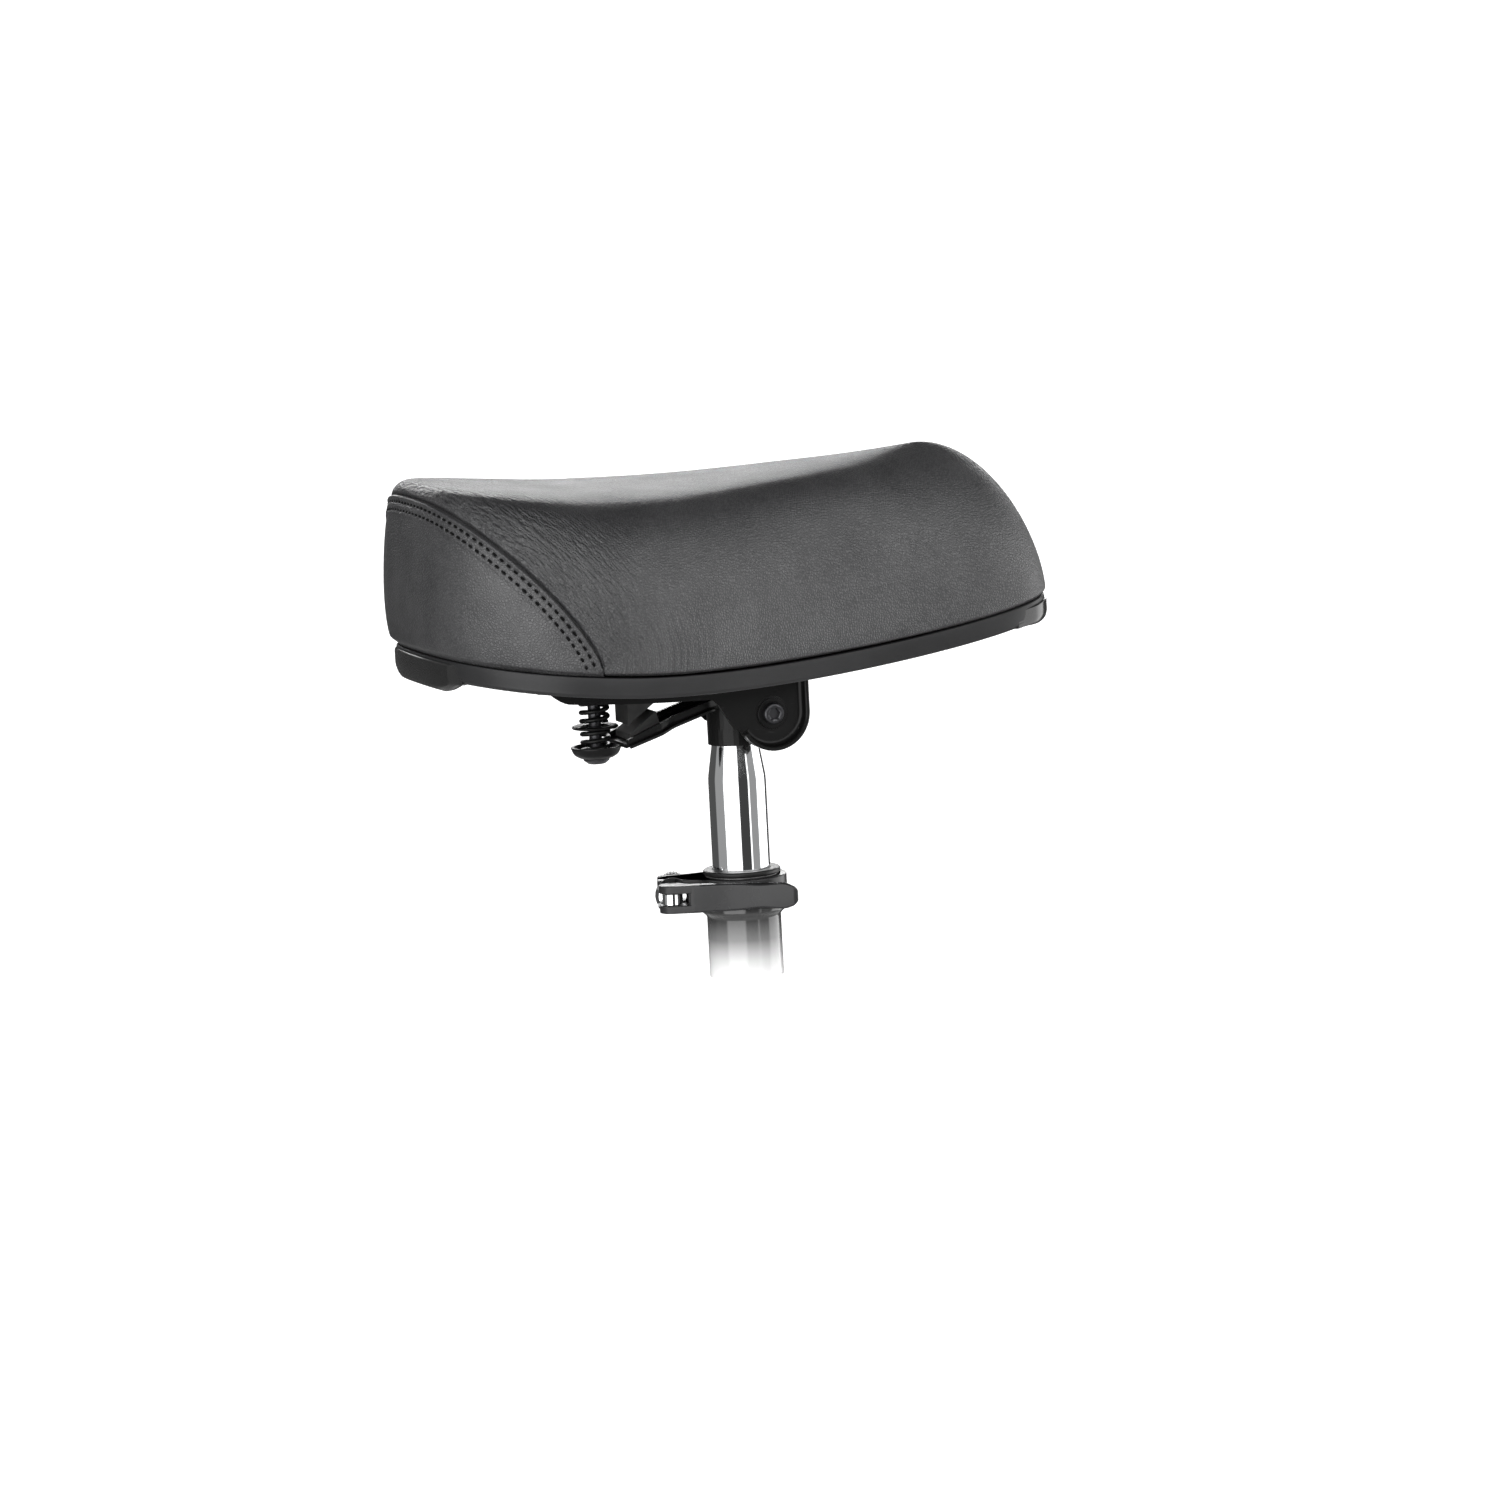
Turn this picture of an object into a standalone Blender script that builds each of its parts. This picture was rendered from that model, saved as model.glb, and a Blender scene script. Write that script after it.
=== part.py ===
"""Sprung cycle saddle on a chrome seat post, held by a quick-release clamp on a stub of seat tube.

Metres, +Z up along the seat post, +X towards the saddle's nose, +Y to the rider's left.
The origin is the centre of the seat tube's lower end.
"""
import math

import bmesh
import bpy
import numpy as np
from mathutils import Matrix, Vector

MM = 0.001
GAP = 0.3 * MM                     # air left between pieces that touch

# Saddle, seen from above
REAR_X = -156 * MM                 # rear of the base outline
NOSE_X = 158.5 * MM                  # front of the base outline
WIDEST_X = -78 * MM
HALF_WIDTH = 86.5 * MM
NOSE_TAPER = 0.48                  # share of the width lost between the widest place and the nose
SPINE_SHARE = 0.6                  # length of the crown line as a share of the saddle's length

# Saddle, seen from the side
RIM_LOW_Z = 144.2 * MM             # underside of the rim at its lowest place
RIM_LOW_X = -1 * MM
RIM_RISE = 13.6 * MM                 # how far the rim sweeps up towards each end
RIM_REACH = 152 * MM
BAND_HEIGHT = 10 * MM
CROWN_LOW_Z = 237.2 * MM
CROWN_LOW_X = -30 * MM
CREST_DIP = 9.2 * MM               # how far the rear of the crown stands above the dip
NOSE_DIP = 5 * MM
REAR_BULGE = 4 * MM
SIDE_BULGE = 2.6 * MM
NOSE_BULGE = 0.4 * MM
SKIN = 2 * MM                      # thickness of the leatherette
FOAM_SLACK = 1.3 * MM              # air between the foam block and its skin
SEAM_FOOT_X = -93 * MM
SEAM_FOOT_Z = 161.5 * MM
SEAM_TOP_X = -159 * MM
SEAM_TOP_Z = 245.5 * MM
SEAM_POWER = 1.35
SADDLE_STEPS = 52
SADDLE_ROWS = 9
PAN_WALL = 2.4 * MM
PAN_FLOOR_LIFT = 6.7 * MM          # pan floor above the rim's lower edge

# Steelwork under the saddle
SHEET = 2 * MM
PLATE_SLACK = 0.9 * MM             # level nuts and heads hang this far under the sloping plate
BRACKET_HALF_WIDTH = 22 * MM
BRACKET_REAR_X = -106 * MM
BRACKET_FRONT_X = 30 * MM
BRACKET_DROP = 9.5 * MM            # side walls reach this far below the rim's edge
EAR_RADIUS = 17.5 * MM
EAR_LIP = 5 * MM
HINGE_X = 11 * MM
HINGE_Z = 126 * MM
HINGE_BOLT_RADIUS = 3 * MM
ARM_HALF_WIDTH = 15.5 * MM
WEB_SLOPE = 0.3                    # the arm rises by this much for each unit forward
WEB_X = -42 * MM                   # a point on the underside of the arm's web
WEB_Z = 119.8 * MM
SPRING_X = -69 * MM
SPRING_RADIUS = 6.2 * MM
SPRING_WIRE = 1.1 * MM             # radius of the spring wire
DISH_FLOOR_Z = 111.7 * MM
SEPARATOR_Z = 124 * MM
SPRING_CUP_Z = 144.2 * MM
STOP_SLOPE = math.radians(35)      # faces of the two rubber stops

# Post, tube and clamp
POST_RADIUS = 13.6 * MM
NECK_RADIUS = 11.1 * MM
POST_BORE = 11.2 * MM
NECK_BORE = 8.9 * MM
POST_FOOT_Z = 8 * MM
SHOULDER_Z = 93 * MM
NECK_Z = 109.5 * MM
NECK_TOP_Z = 117 * MM
HEAD_Z = 110.5 * MM                # underside of the head on the post's neck
TUBE_RADIUS = 17.45 * MM
TUBE_BORE = 15.8 * MM
TUBE_TOP_Z = 48.6 * MM
COLLAR_RADIUS = 21 * MM
COLLAR_LOW_Z = 34.6 * MM
COLLAR_HIGH_Z = 48 * MM
CLAMP_YAW = math.radians(-20)      # the clamp is turned a little on the tube
SKEWER_X = -33 * MM                # in the clamp's own frame
SKEWER_Z = 41.3 * MM
SKEWER_RADIUS = 2.5 * MM
CAM_Y = -21.5 * MM
EAR_INNER_Y = 2.5 * MM
EAR_OUTER_Y = 9.5 * MM
ROUND_STEPS = 32


def clear_scene():
    for item in list(bpy.data.objects):
        bpy.data.objects.remove(item, do_unlink=True)


def finish_colour(name, colour, metallic, roughness):
    """One Principled material."""
    material = bpy.data.materials.new(name)
    material.use_nodes = True
    shader = material.node_tree.nodes["Principled BSDF"]
    shader.inputs["Base Color"].default_value = (*colour, 1.0)
    shader.inputs["Metallic"].default_value = metallic
    shader.inputs["Roughness"].default_value = roughness
    return material


def new_object(name, vertices, faces, material=None, merge=0.0):
    """An object whose faces all point outwards."""
    mesh = bpy.data.meshes.new(name)
    mesh.from_pydata([tuple(v) for v in vertices], [], [tuple(f) for f in faces])
    bm = bmesh.new()
    bm.from_mesh(mesh)
    if merge:
        bmesh.ops.remove_doubles(bm, verts=bm.verts, dist=merge)
    bmesh.ops.recalc_face_normals(bm, faces=bm.faces)
    bm.to_mesh(mesh)
    bm.free()
    obj = bpy.data.objects.new(name, mesh)
    bpy.context.scene.collection.objects.link(obj)
    if material is not None:
        mesh.materials.append(material)
        mesh.shade_smooth()
        mesh.set_sharp_from_angle(angle=math.radians(32))
    return obj


def place(obj, at=(0, 0, 0), turn=None):
    """Move an object's mesh to its place, so that its origin can be set on a joint later."""
    matrix = Matrix.Translation(Vector(at))
    if turn is not None:
        matrix = matrix @ turn
    obj.data.transform(matrix)
    return obj


ALONG_Y = Matrix.Rotation(math.radians(-90), 4, "X")     # turns +Z into +Y


def turned(name, profile, material, at=(0, 0, 0), turn=None, steps=ROUND_STEPS):
    """A closed outline of (radius, height) points carried round the Z axis."""
    vertices = []
    rings = []
    for radius, height in profile:
        if radius == 0:
            rings.append([len(vertices)] * steps)
            vertices.append((0, 0, height))
        else:
            rings.append([len(vertices) + k for k in range(steps)])
            for k in range(steps):
                angle = 2 * math.pi * k / steps
                vertices.append((radius * math.cos(angle), radius * math.sin(angle), height))
    faces = []
    for ring, following in zip(rings, rings[1:] + rings[:1]):
        for k in range(steps):
            corners = [ring[k], ring[(k + 1) % steps], following[(k + 1) % steps], following[k]]
            face = list(dict.fromkeys(corners))
            if len(face) > 2:
                faces.append(face)
    return place(new_object(name, vertices, faces, material), at, turn)


def prism(name, outline, low, high, material=None, axis="Y"):
    """An outline carried straight along an axis, from low to high."""
    def corner(first, second, along):
        if axis == "Y":
            return (first, along, second)
        if axis == "X":
            return (along, first, second)
        return (first, second, along)
    count = len(outline)
    vertices = [corner(a, b, low) for a, b in outline] + [corner(a, b, high) for a, b in outline]
    faces = [list(range(count)), list(range(count, 2 * count))]
    faces += [[k, (k + 1) % count, count + (k + 1) % count, count + k] for k in range(count)]
    return new_object(name, vertices, faces, material)


def arc(centre, radius, start, stop, steps):
    """Points on an arc, angles in degrees."""
    angles = [math.radians(start + (stop - start) * k / steps) for k in range(steps + 1)]
    return [(centre[0] + radius * math.cos(a), centre[1] + radius * math.sin(a)) for a in angles]


def combine(target, tools, operation):
    """Boolean modifiers with tool objects that the model itself doesn't show."""
    for tool in tools:
        tool.hide_render = True
        tool.display_type = "WIRE"
        modifier = target.modifiers.new(operation.lower(), "BOOLEAN")
        modifier.operation = operation
        modifier.solver = "EXACT"
        modifier.object = tool
    return target


def drill(name, radius, low, high, at, turn=None):
    """A round cutter."""
    return turned(name, [(0, low), (radius, low), (radius, high), (0, high)], None, at, turn, 24)


# ---------------------------------------------------------------- saddle surface

def smooth(low, high, value):
    """A soft step from 0 at low to 1 at high."""
    share = np.clip((value - low) / (high - low), 0, 1)
    return share * share * (3 - 2 * share)


def half_width(x):
    """Half the saddle's width at x: a square-shouldered rear and a tapering, round nose."""
    behind = np.clip((WIDEST_X - x) / (WIDEST_X - REAR_X), 0, 1)
    ahead = np.clip((x - WIDEST_X) / (NOSE_X - WIDEST_X), 0, 1)
    eased = np.sqrt(ahead ** 2 + 0.05 ** 2) - 0.05
    rear = (1 - behind ** 2.6) ** (1 / 2.6)
    front = (1 - NOSE_TAPER * eased ** 1.2 * (3 - 2 * eased)) * (1 - ahead ** 7) ** 0.5
    return HALF_WIDTH * np.where(x < WIDEST_X, rear, front)


def rim_height(x):
    """Lower edge of the rim: a parabola that sweeps up to both ends."""
    return RIM_LOW_Z + RIM_RISE * ((x - RIM_LOW_X) / RIM_REACH) ** 2


def crown_height(x):
    """Top of the saddle along its middle: a dip between the raised rear and the nose."""
    behind = np.clip((CROWN_LOW_X - x) / (120 * MM), 0, 1.25)
    ahead = np.clip((x - CROWN_LOW_X) / (100 * MM), 0, 2)
    levelling = (1 + (ahead / 1.45) ** 6) ** (1 / 3)
    return CROWN_LOW_Z + CREST_DIP * behind ** 2 + NOSE_DIP * ahead ** 2 / levelling


def base_line(turn):
    """Base outline at each angle, its middle-line partner and the direction between them."""
    middle = (NOSE_X + REAR_X) / 2
    reach = (NOSE_X - REAR_X) / 2
    x = middle + reach * np.cos(turn)
    side = np.sin(turn)
    y = half_width(x) * np.where(np.abs(side) < 1e-9, 0, np.sign(side))
    spine = middle + SPINE_SHARE * (x - middle)
    length = np.hypot(x - spine, y)
    return x, y, spine, length, (x - spine) / length, y / length


def full_turn(steps):
    return np.arange(steps) * 2 * np.pi / steps


def saddle_rings(around, up, inset=0.0):
    """The cover's surface as rings of points, from the rim to the crown line.

    Each ring point lies between its base outline point and the middle line. Its height follows a
    superellipse that is square at the rear, rounder at the sides and elliptical at the nose.
    inset moves the surface inwards and down.
    """
    turn = full_turn(around)
    base_x, base_y, spine, length, way_x, way_y = base_line(turn)
    rear = smooth(0.35, 1.0, -way_x)
    nose = smooth(0.1, 1.0, way_x)
    across_power = 5.0 + 17.0 * rear - 3.1 * nose
    height_power = 3.3 + 1.2 * rear - 1.7 * nose
    bulge = SIDE_BULGE + (REAR_BULGE - SIDE_BULGE) * rear + (NOSE_BULGE - SIDE_BULGE) * nose
    angle = np.linspace(0, np.pi / 2, 400)[:, None]
    across = np.sin(angle) ** (2 / across_power)
    rise = np.abs(np.cos(angle)) ** (2 / height_power)
    steps = np.hypot(np.diff(across, axis=0) * length, np.diff(rise, axis=0) * 85 * MM)
    travel = np.vstack([np.zeros((1, around)), np.cumsum(steps, axis=0)])
    low = rim_height(base_x) + BAND_HEIGHT
    rings = []
    for k in range(up + 1):
        share = 1 - k / up
        at = np.array([np.interp(share * travel[-1, i], travel[:, i], angle[:, 0])
                       for i in range(around)])
        height = np.abs(np.cos(at)) ** (2 / height_power)
        out = bulge * np.sin(np.pi * np.clip(height, 0, 1) ** 0.55)
        radius = np.maximum(np.sin(at) ** (2 / across_power) * (length - inset) + out, 0)
        x = spine + way_x * radius
        z = low + (crown_height(x) - inset - low) * height
        rings.append(np.column_stack([x, way_y * radius, z]))
    return rings


def rim_line(turn, inset, lift):
    """A line along the rim, inside the base outline by inset and above the rim's edge by lift."""
    x, y, _, _, way_x, way_y = base_line(turn)
    return np.column_stack([x - way_x * inset, y - way_y * inset, rim_height(x) + lift])


def middle_line(turn, lift):
    """The rim folded onto the middle, to close a floor."""
    _, _, spine, _, _, _ = base_line(turn)
    return np.column_stack([spine, np.zeros(len(turn)), rim_height(spine) + lift])


def ring_faces(rows, around, closed=True):
    """Quads between neighbouring rows of points."""
    last = around if closed else around - 1
    faces = []
    for k in range(rows - 1):
        for i in range(last):
            j = (i + 1) % around
            faces.append([k * around + i, k * around + j, (k + 1) * around + j, (k + 1) * around + i])
    return faces


def joined_rings(name, rings, material):
    """A solid from rings of points; rings that meet or fold onto a line are merged."""
    around = len(rings[0])
    return new_object(name, np.vstack(rings), ring_faces(len(rings), around), material, 0.01 * MM)


def rim_strip(name, outline, turn, material):
    """An outline of (inset, lift) carried along a stretch of the rim, with closed ends."""
    lines = [rim_line(turn, inset * MM, lift * MM) for inset, lift in outline]
    count = len(turn)
    rows = len(lines)
    faces = ring_faces(rows, count, closed=False)
    faces += [[(rows - 1) * count + i, (rows - 1) * count + i + 1, i + 1, i] for i in range(count - 1)]
    faces.append([k * count for k in range(rows)])
    faces.append([k * count + count - 1 for k in range(rows)])
    return new_object(name, np.vstack(lines), faces, material)


# ---------------------------------------------------------------- saddle pieces

def seam_line(offset):
    """The seam's side view: it climbs from its foot on the rim to the rear of the crown."""
    points = []
    for k in range(13):
        share = k / 12
        x = SEAM_FOOT_X + (SEAM_TOP_X - SEAM_FOOT_X) * share ** SEAM_POWER
        points.append((x + offset, SEAM_FOOT_Z + share * (SEAM_TOP_Z - SEAM_FOOT_Z)))
    before = (points[0][0] + 6 * MM, points[0][1] - 30 * MM)
    after = (points[-1][0] - 20 * MM, points[-1][1] + 20 * MM)
    return [before] + points + [after]


def cover_panels(material):
    """Main panel and rear panel: one skin, parted at the seam."""
    panels = []
    for name, operation, offset in (("cover_main_panel", "DIFFERENCE", GAP / 2),
                                    ("cover_rear_panel", "INTERSECT", -GAP / 2)):
        outside = saddle_rings(SADDLE_STEPS, SADDLE_ROWS)
        inside = saddle_rings(SADDLE_STEPS, SADDLE_ROWS, SKIN)
        skin = joined_rings(name, outside[::-1] + inside, material)
        seam = seam_line(offset)
        far = REAR_X - 60 * MM
        outline = [(far, seam[0][1])] + seam + [(far, seam[-1][1])]
        cutter = prism(name + "_cutter", outline, -140 * MM, 140 * MM)
        panels.append(combine(skin, [cutter], operation))
    return panels


def foam_core(material):
    """Foam block that fills the cover down to the pan."""
    turn = full_turn(SADDLE_STEPS)
    under = [middle_line(turn, BAND_HEIGHT), rim_line(turn, 30 * MM, BAND_HEIGHT)]
    body = saddle_rings(SADDLE_STEPS, SADDLE_ROWS, SKIN + FOAM_SLACK)
    return joined_rings("foam_core", under + body, material)


def base_pan(material, bolt_places):
    """Moulded pan: a floor that follows the rim's sweep, drilled for the bracket bolts."""
    turn = full_turn(SADDLE_STEPS)
    low = PAN_FLOOR_LIFT
    high = PAN_FLOOR_LIFT + PAN_WALL
    edge = 4.4 * MM
    rings = [middle_line(turn, low), rim_line(turn, 30 * MM, low), rim_line(turn, edge, low),
             rim_line(turn, edge, high), rim_line(turn, 30 * MM, high), middle_line(turn, high)]
    pan = joined_rings("base_pan", rings, material)
    return combine(pan, bolt_drills("pan", bolt_places), "DIFFERENCE")


def edge_band(material):
    """Trim that closes the rim below the cover, all round the pan."""
    top = BAND_HEIGHT / MM - 0.3
    outline = [(1.5, 0.8), (2.2, 0.0), (4.0, 0.0), (4.0, top), (0.9, top), (0.9, 3.0), (1.5, 0.8)]
    turn = full_turn(SADDLE_STEPS)
    rings = [rim_line(turn, inset * MM, lift * MM) for inset, lift in outline]
    return joined_rings("edge_band", rings, material)


def bumpers(material):
    """Hard corner guards that hook under the rim at the rear and at the nose."""
    outline = [(0.3, 8.4), (-0.3, 7.4), (-0.3, 1.0), (0.6, -3.2), (2.4, -5.6), (8.0, -5.6), (8.0, -0.4),
               (2.0, -0.4), (1.2, 0.6), (0.6, 2.8), (0.6, 8.4)]
    rear = rim_strip("rear_bumper", outline, np.pi + np.linspace(-0.3, 0.3, 13), material)
    nose_outline = [(inset, min(lift, 7.6) if lift > 0 else lift * 0.45) for inset, lift in outline]
    nose_outline[6] = (8.0, -0.4)
    nose_outline[7] = (2.0, -0.4)
    front = rim_strip("front_bumper", nose_outline, np.linspace(-0.55, 0.55, 15), material)
    return [rear, front]


def bolt_drills(owner, places):
    """Cutters for the four bracket bolts."""
    return [drill(f"{owner}_bolt_drill_{k}", 2.7 * MM, -12 * MM, 14 * MM, (x, y, rim_height(x)))
            for k, (x, y) in enumerate(places)]


def bracket_bolts(material, places):
    """Button-head bolts that hold the steel bracket up against the pan."""
    bolts = []
    for k, (x, y) in enumerate(places, 1):
        seat = rim_height(x) + PAN_FLOOR_LIFT - GAP - SHEET - PLATE_SLACK
        profile = [(0, -2.6 * MM), (2.4 * MM, -2.4 * MM), (4.2 * MM, -0.9 * MM), (4.4 * MM, 0),
                   (2.4 * MM, 0), (2.4 * MM, 5.4 * MM), (0, 5.4 * MM)]
        bolts.append(turned(f"bracket_bolt_{k}", profile, material, (x, y, seat), steps=16))
    return bolts


# ---------------------------------------------------------------- steelwork

def bracket_line(lift, start, stop, steps=10):
    """Points that follow the rim's sweep at a given lift."""
    xs = [start + (stop - start) * k / steps for k in range(steps + 1)]
    return [(x, float(rim_height(x)) + lift) for x in xs]


def upper_bracket(material, bolt_places):
    """Pressed channel under the pan whose front ends in two round ears for the hinge bolt."""
    top = PAN_FLOOR_LIFT - GAP
    rear = BRACKET_REAR_X
    front = BRACKET_FRONT_X
    hinge = (HINGE_X, HINGE_Z)
    plate_outline = bracket_line(top, rear, front) + bracket_line(top - SHEET, front, rear)
    bracket = prism("upper_bracket", plate_outline, -BRACKET_HALF_WIDTH, BRACKET_HALF_WIDTH, material)
    lower_edge = bracket_line(-BRACKET_DROP, rear + 18 * MM, HINGE_X - 22 * MM, 6)
    ear = arc(hinge, EAR_RADIUS, 205, 360, 14)
    rear_top = float(rim_height(rear)) + top - 0.2 * MM
    front_top = float(rim_height(front)) + top - 0.2 * MM
    wall_outline = ([(rear, rear_top), (rear, rear_top - 8 * MM)] + lower_edge + ear
                    + [(HINGE_X + EAR_RADIUS, front_top)]
                    + bracket_line(top - 0.2 * MM, front - 4 * MM, rear + 4 * MM, 8))
    lip_outline = (arc(hinge, EAR_RADIUS, 205, 360, 14) + [(HINGE_X + EAR_RADIUS, front_top - 4 * MM)]
                   + [(HINGE_X + EAR_RADIUS - SHEET, front_top - 4 * MM)]
                   + arc(hinge, EAR_RADIUS - SHEET, 360, 205, 14))
    walls = []
    for side in (-1, 1):
        low, high = sorted((side * BRACKET_HALF_WIDTH, side * (BRACKET_HALF_WIDTH - SHEET)))
        walls.append(prism(f"bracket_wall_{side}", wall_outline, low, high))
        low, high = sorted((side * (BRACKET_HALF_WIDTH - SHEET / 2), side * (BRACKET_HALF_WIDTH + EAR_LIP)))
        walls.append(prism(f"bracket_lip_{side}", lip_outline, low, high))
    combine(bracket, walls, "UNION")
    hole = drill("bracket_hinge_drill", HINGE_BOLT_RADIUS + 0.3 * MM, -30 * MM, 30 * MM,
                 (HINGE_X, 0, HINGE_Z), ALONG_Y)
    return combine(bracket, [hole] + bolt_drills("bracket", bolt_places), "DIFFERENCE")


def web_height(x):
    """Underside of the arm's web."""
    return WEB_Z + WEB_SLOPE * (x - WEB_X)


def rocker_arm(material):
    """Pressed channel, open upwards, from the hinge eyes down to the spring dish."""
    hinge = (HINGE_X, HINGE_Z)
    web_rear = SPRING_X + 9.5 * MM
    web_front = 2 * MM
    web = prism("rocker_arm", [(web_rear, web_height(web_rear)), (web_front, web_height(web_front)),
                               (web_front, web_height(web_front) + SHEET),
                               (web_rear, web_height(web_rear) + SHEET)],
                -ARM_HALF_WIDTH + SHEET / 2, ARM_HALF_WIDTH - SHEET / 2, material)
    low_rear = SPRING_X + 10.5 * MM
    wall_foot = -0.4 * MM
    wall_front = web_front - 6 * MM
    wall_outline = ([(low_rear, web_height(low_rear) + wall_foot), (wall_front, web_height(wall_front) + wall_foot)]
                    + arc(hinge, 10 * MM, 200, 450, 16)
                    + [(-4 * MM, 136 * MM), (-18.4 * MM, 133.6 * MM), (-44 * MM, 125.2 * MM),
                       (low_rear, 119 * MM)])
    wall_low = ARM_HALF_WIDTH - SHEET
    tools = [prism("arm_wall_near", wall_outline, -ARM_HALF_WIDTH, -wall_low),
             prism("arm_wall_far", wall_outline, wall_low, ARM_HALF_WIDTH)]
    lip_rear = low_rear + 1 * MM
    lip_front = -14 * MM
    lip_foot = -0.1 * MM
    lip_top = 1.3 * MM
    lip_outline = [(lip_rear, web_height(lip_rear) + lip_foot), (lip_front, web_height(lip_front) + lip_foot),
                   (lip_front, web_height(lip_front) + lip_top), (lip_rear, web_height(lip_rear) + lip_top)]
    for name, low, high in (("arm_lip_near", -ARM_HALF_WIDTH - 2 * MM, -ARM_HALF_WIDTH + 0.7 * MM),
                            ("arm_lip_far", ARM_HALF_WIDTH - 0.7 * MM, ARM_HALF_WIDTH + 2 * MM)):
        tools.append(prism(name, lip_outline, low, high))
    floor = DISH_FLOOR_Z
    dish_profile = [(4.5, -1.7), (7.5, -1.7), (10.4, 0.1), (11.8, 3.9), (10.2, 3.9), (9.1, 0.9),
                    (7.2, 0.0), (4.5, 0.0)]
    dish = turned("arm_dish", [(r * MM, z * MM) for r, z in dish_profile], None, (SPRING_X, 0, floor))
    tools.append(dish)
    combine(web, tools, "UNION")
    eye = drill("arm_eye_drill", 6.6 * MM, -30 * MM, 30 * MM, (HINGE_X, 0, HINGE_Z), ALONG_Y)
    return combine(web, [eye], "DIFFERENCE")


def post_head(material):
    """Head on the post's neck: a cup for the neck whose rear rises to meet the arm's web."""
    cup = turned("post_head", [(NECK_RADIUS + GAP, HEAD_Z), (12.7 * MM, HEAD_Z), (12.7 * MM, 118.9 * MM),
                               (0, 118.9 * MM), (0, NECK_TOP_Z + GAP), (NECK_RADIUS + GAP, NECK_TOP_Z + GAP)],
                 material)
    front = 3.6 * MM
    rear_half = arc((0, 0), 12.7 * MM, 73.5, 286.5, 22)
    rise = prism("head_rise", rear_half, 117.9 * MM, 140 * MM, axis="Z")
    rear = -20 * MM
    above = prism("head_trim", [(rear, web_height(rear) - GAP), (front + 20 * MM, web_height(front + 20 * MM) - GAP),
                                (front + 20 * MM, 160 * MM), (rear, 160 * MM)], -20 * MM, 20 * MM)
    combine(cup, [rise], "UNION")
    return combine(cup, [above], "DIFFERENCE")


def hinge_pieces(steel, black):
    """Bush in the arm's eyes, cap screw through it, a washer and a nut outside the ears."""
    at = (HINGE_X, 0, HINGE_Z)
    inner_face = BRACKET_HALF_WIDTH - SHEET - GAP
    bore = HINGE_BOLT_RADIUS + 0.08 * MM
    turned("hinge_bush", [(bore, -inner_face), (6.3 * MM, -inner_face), (6.3 * MM, inner_face), (bore, inner_face)],
           steel, at, ALONG_Y, 24)
    washer_low = BRACKET_HALF_WIDTH + GAP
    washer_high = washer_low + 1.2 * MM
    for name, side in (("hinge_washer_near", -1), ("hinge_washer_far", 1)):
        turned(name, [(3.3 * MM, side * washer_low), (7.4 * MM, side * washer_low),
                      (7.4 * MM, side * washer_high), (3.3 * MM, side * washer_high)], black, at, ALONG_Y, 24)
    head = -(washer_high + GAP)
    end = washer_high + 7 * MM
    screw = turned("hinge_bolt", [(0, head - 5.6 * MM), (4.6 * MM, head - 5.6 * MM), (5 * MM, head - 5.2 * MM),
                                  (5 * MM, head), (HINGE_BOLT_RADIUS, head), (HINGE_BOLT_RADIUS, end), (0, end)],
                   steel, at, ALONG_Y, 24)
    key = turned("hinge_key_cut", [(0, head - 8 * MM), (2.9 * MM, head - 8 * MM), (2.9 * MM, head - 2.4 * MM),
                                   (0, head - 2.4 * MM)], None, at, ALONG_Y, 6)
    combine(screw, [key], "DIFFERENCE")
    nut_low = washer_high + GAP
    hex_nut("hinge_nut", nut_low, nut_low + 5 * MM, steel, at, ALONG_Y)


def hex_nut(name, low, high, material, at, turn=None):
    """A nut 10 mm across its flats; its six-sided hole clears the thread."""
    corner = 5 * MM / math.cos(math.radians(30))
    bore = (HINGE_BOLT_RADIUS + 0.15 * MM) / math.cos(math.radians(30))
    return turned(name, [(bore, low), (corner, low), (corner, high), (bore, high)], material, at, turn, 6)


def coil(name, low, high, turns, material):
    """A coil spring: a round wire on a helix, with flat-cut ends."""
    per_turn = 12
    sides = 6
    count = int(turns * per_turn)
    rows = []
    for k in range(count + 1):
        angle = 2 * math.pi * k / per_turn
        height = low + SPRING_WIRE + (high - low - 2 * SPRING_WIRE) * k / count
        outward = Vector((math.cos(angle), math.sin(angle), 0))
        centre = outward * SPRING_RADIUS + Vector((SPRING_X, 0, height))
        for s in range(sides):
            around = 2 * math.pi * s / sides
            rows.append(centre + outward * SPRING_WIRE * math.cos(around)
                        + Vector((0, 0, SPRING_WIRE * math.sin(around))))
    faces = ring_faces(count + 1, sides)
    faces.append(list(range(sides)))
    faces.append(list(range(count * sides, (count + 1) * sides)))
    return new_object(name, rows, faces, material)


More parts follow.
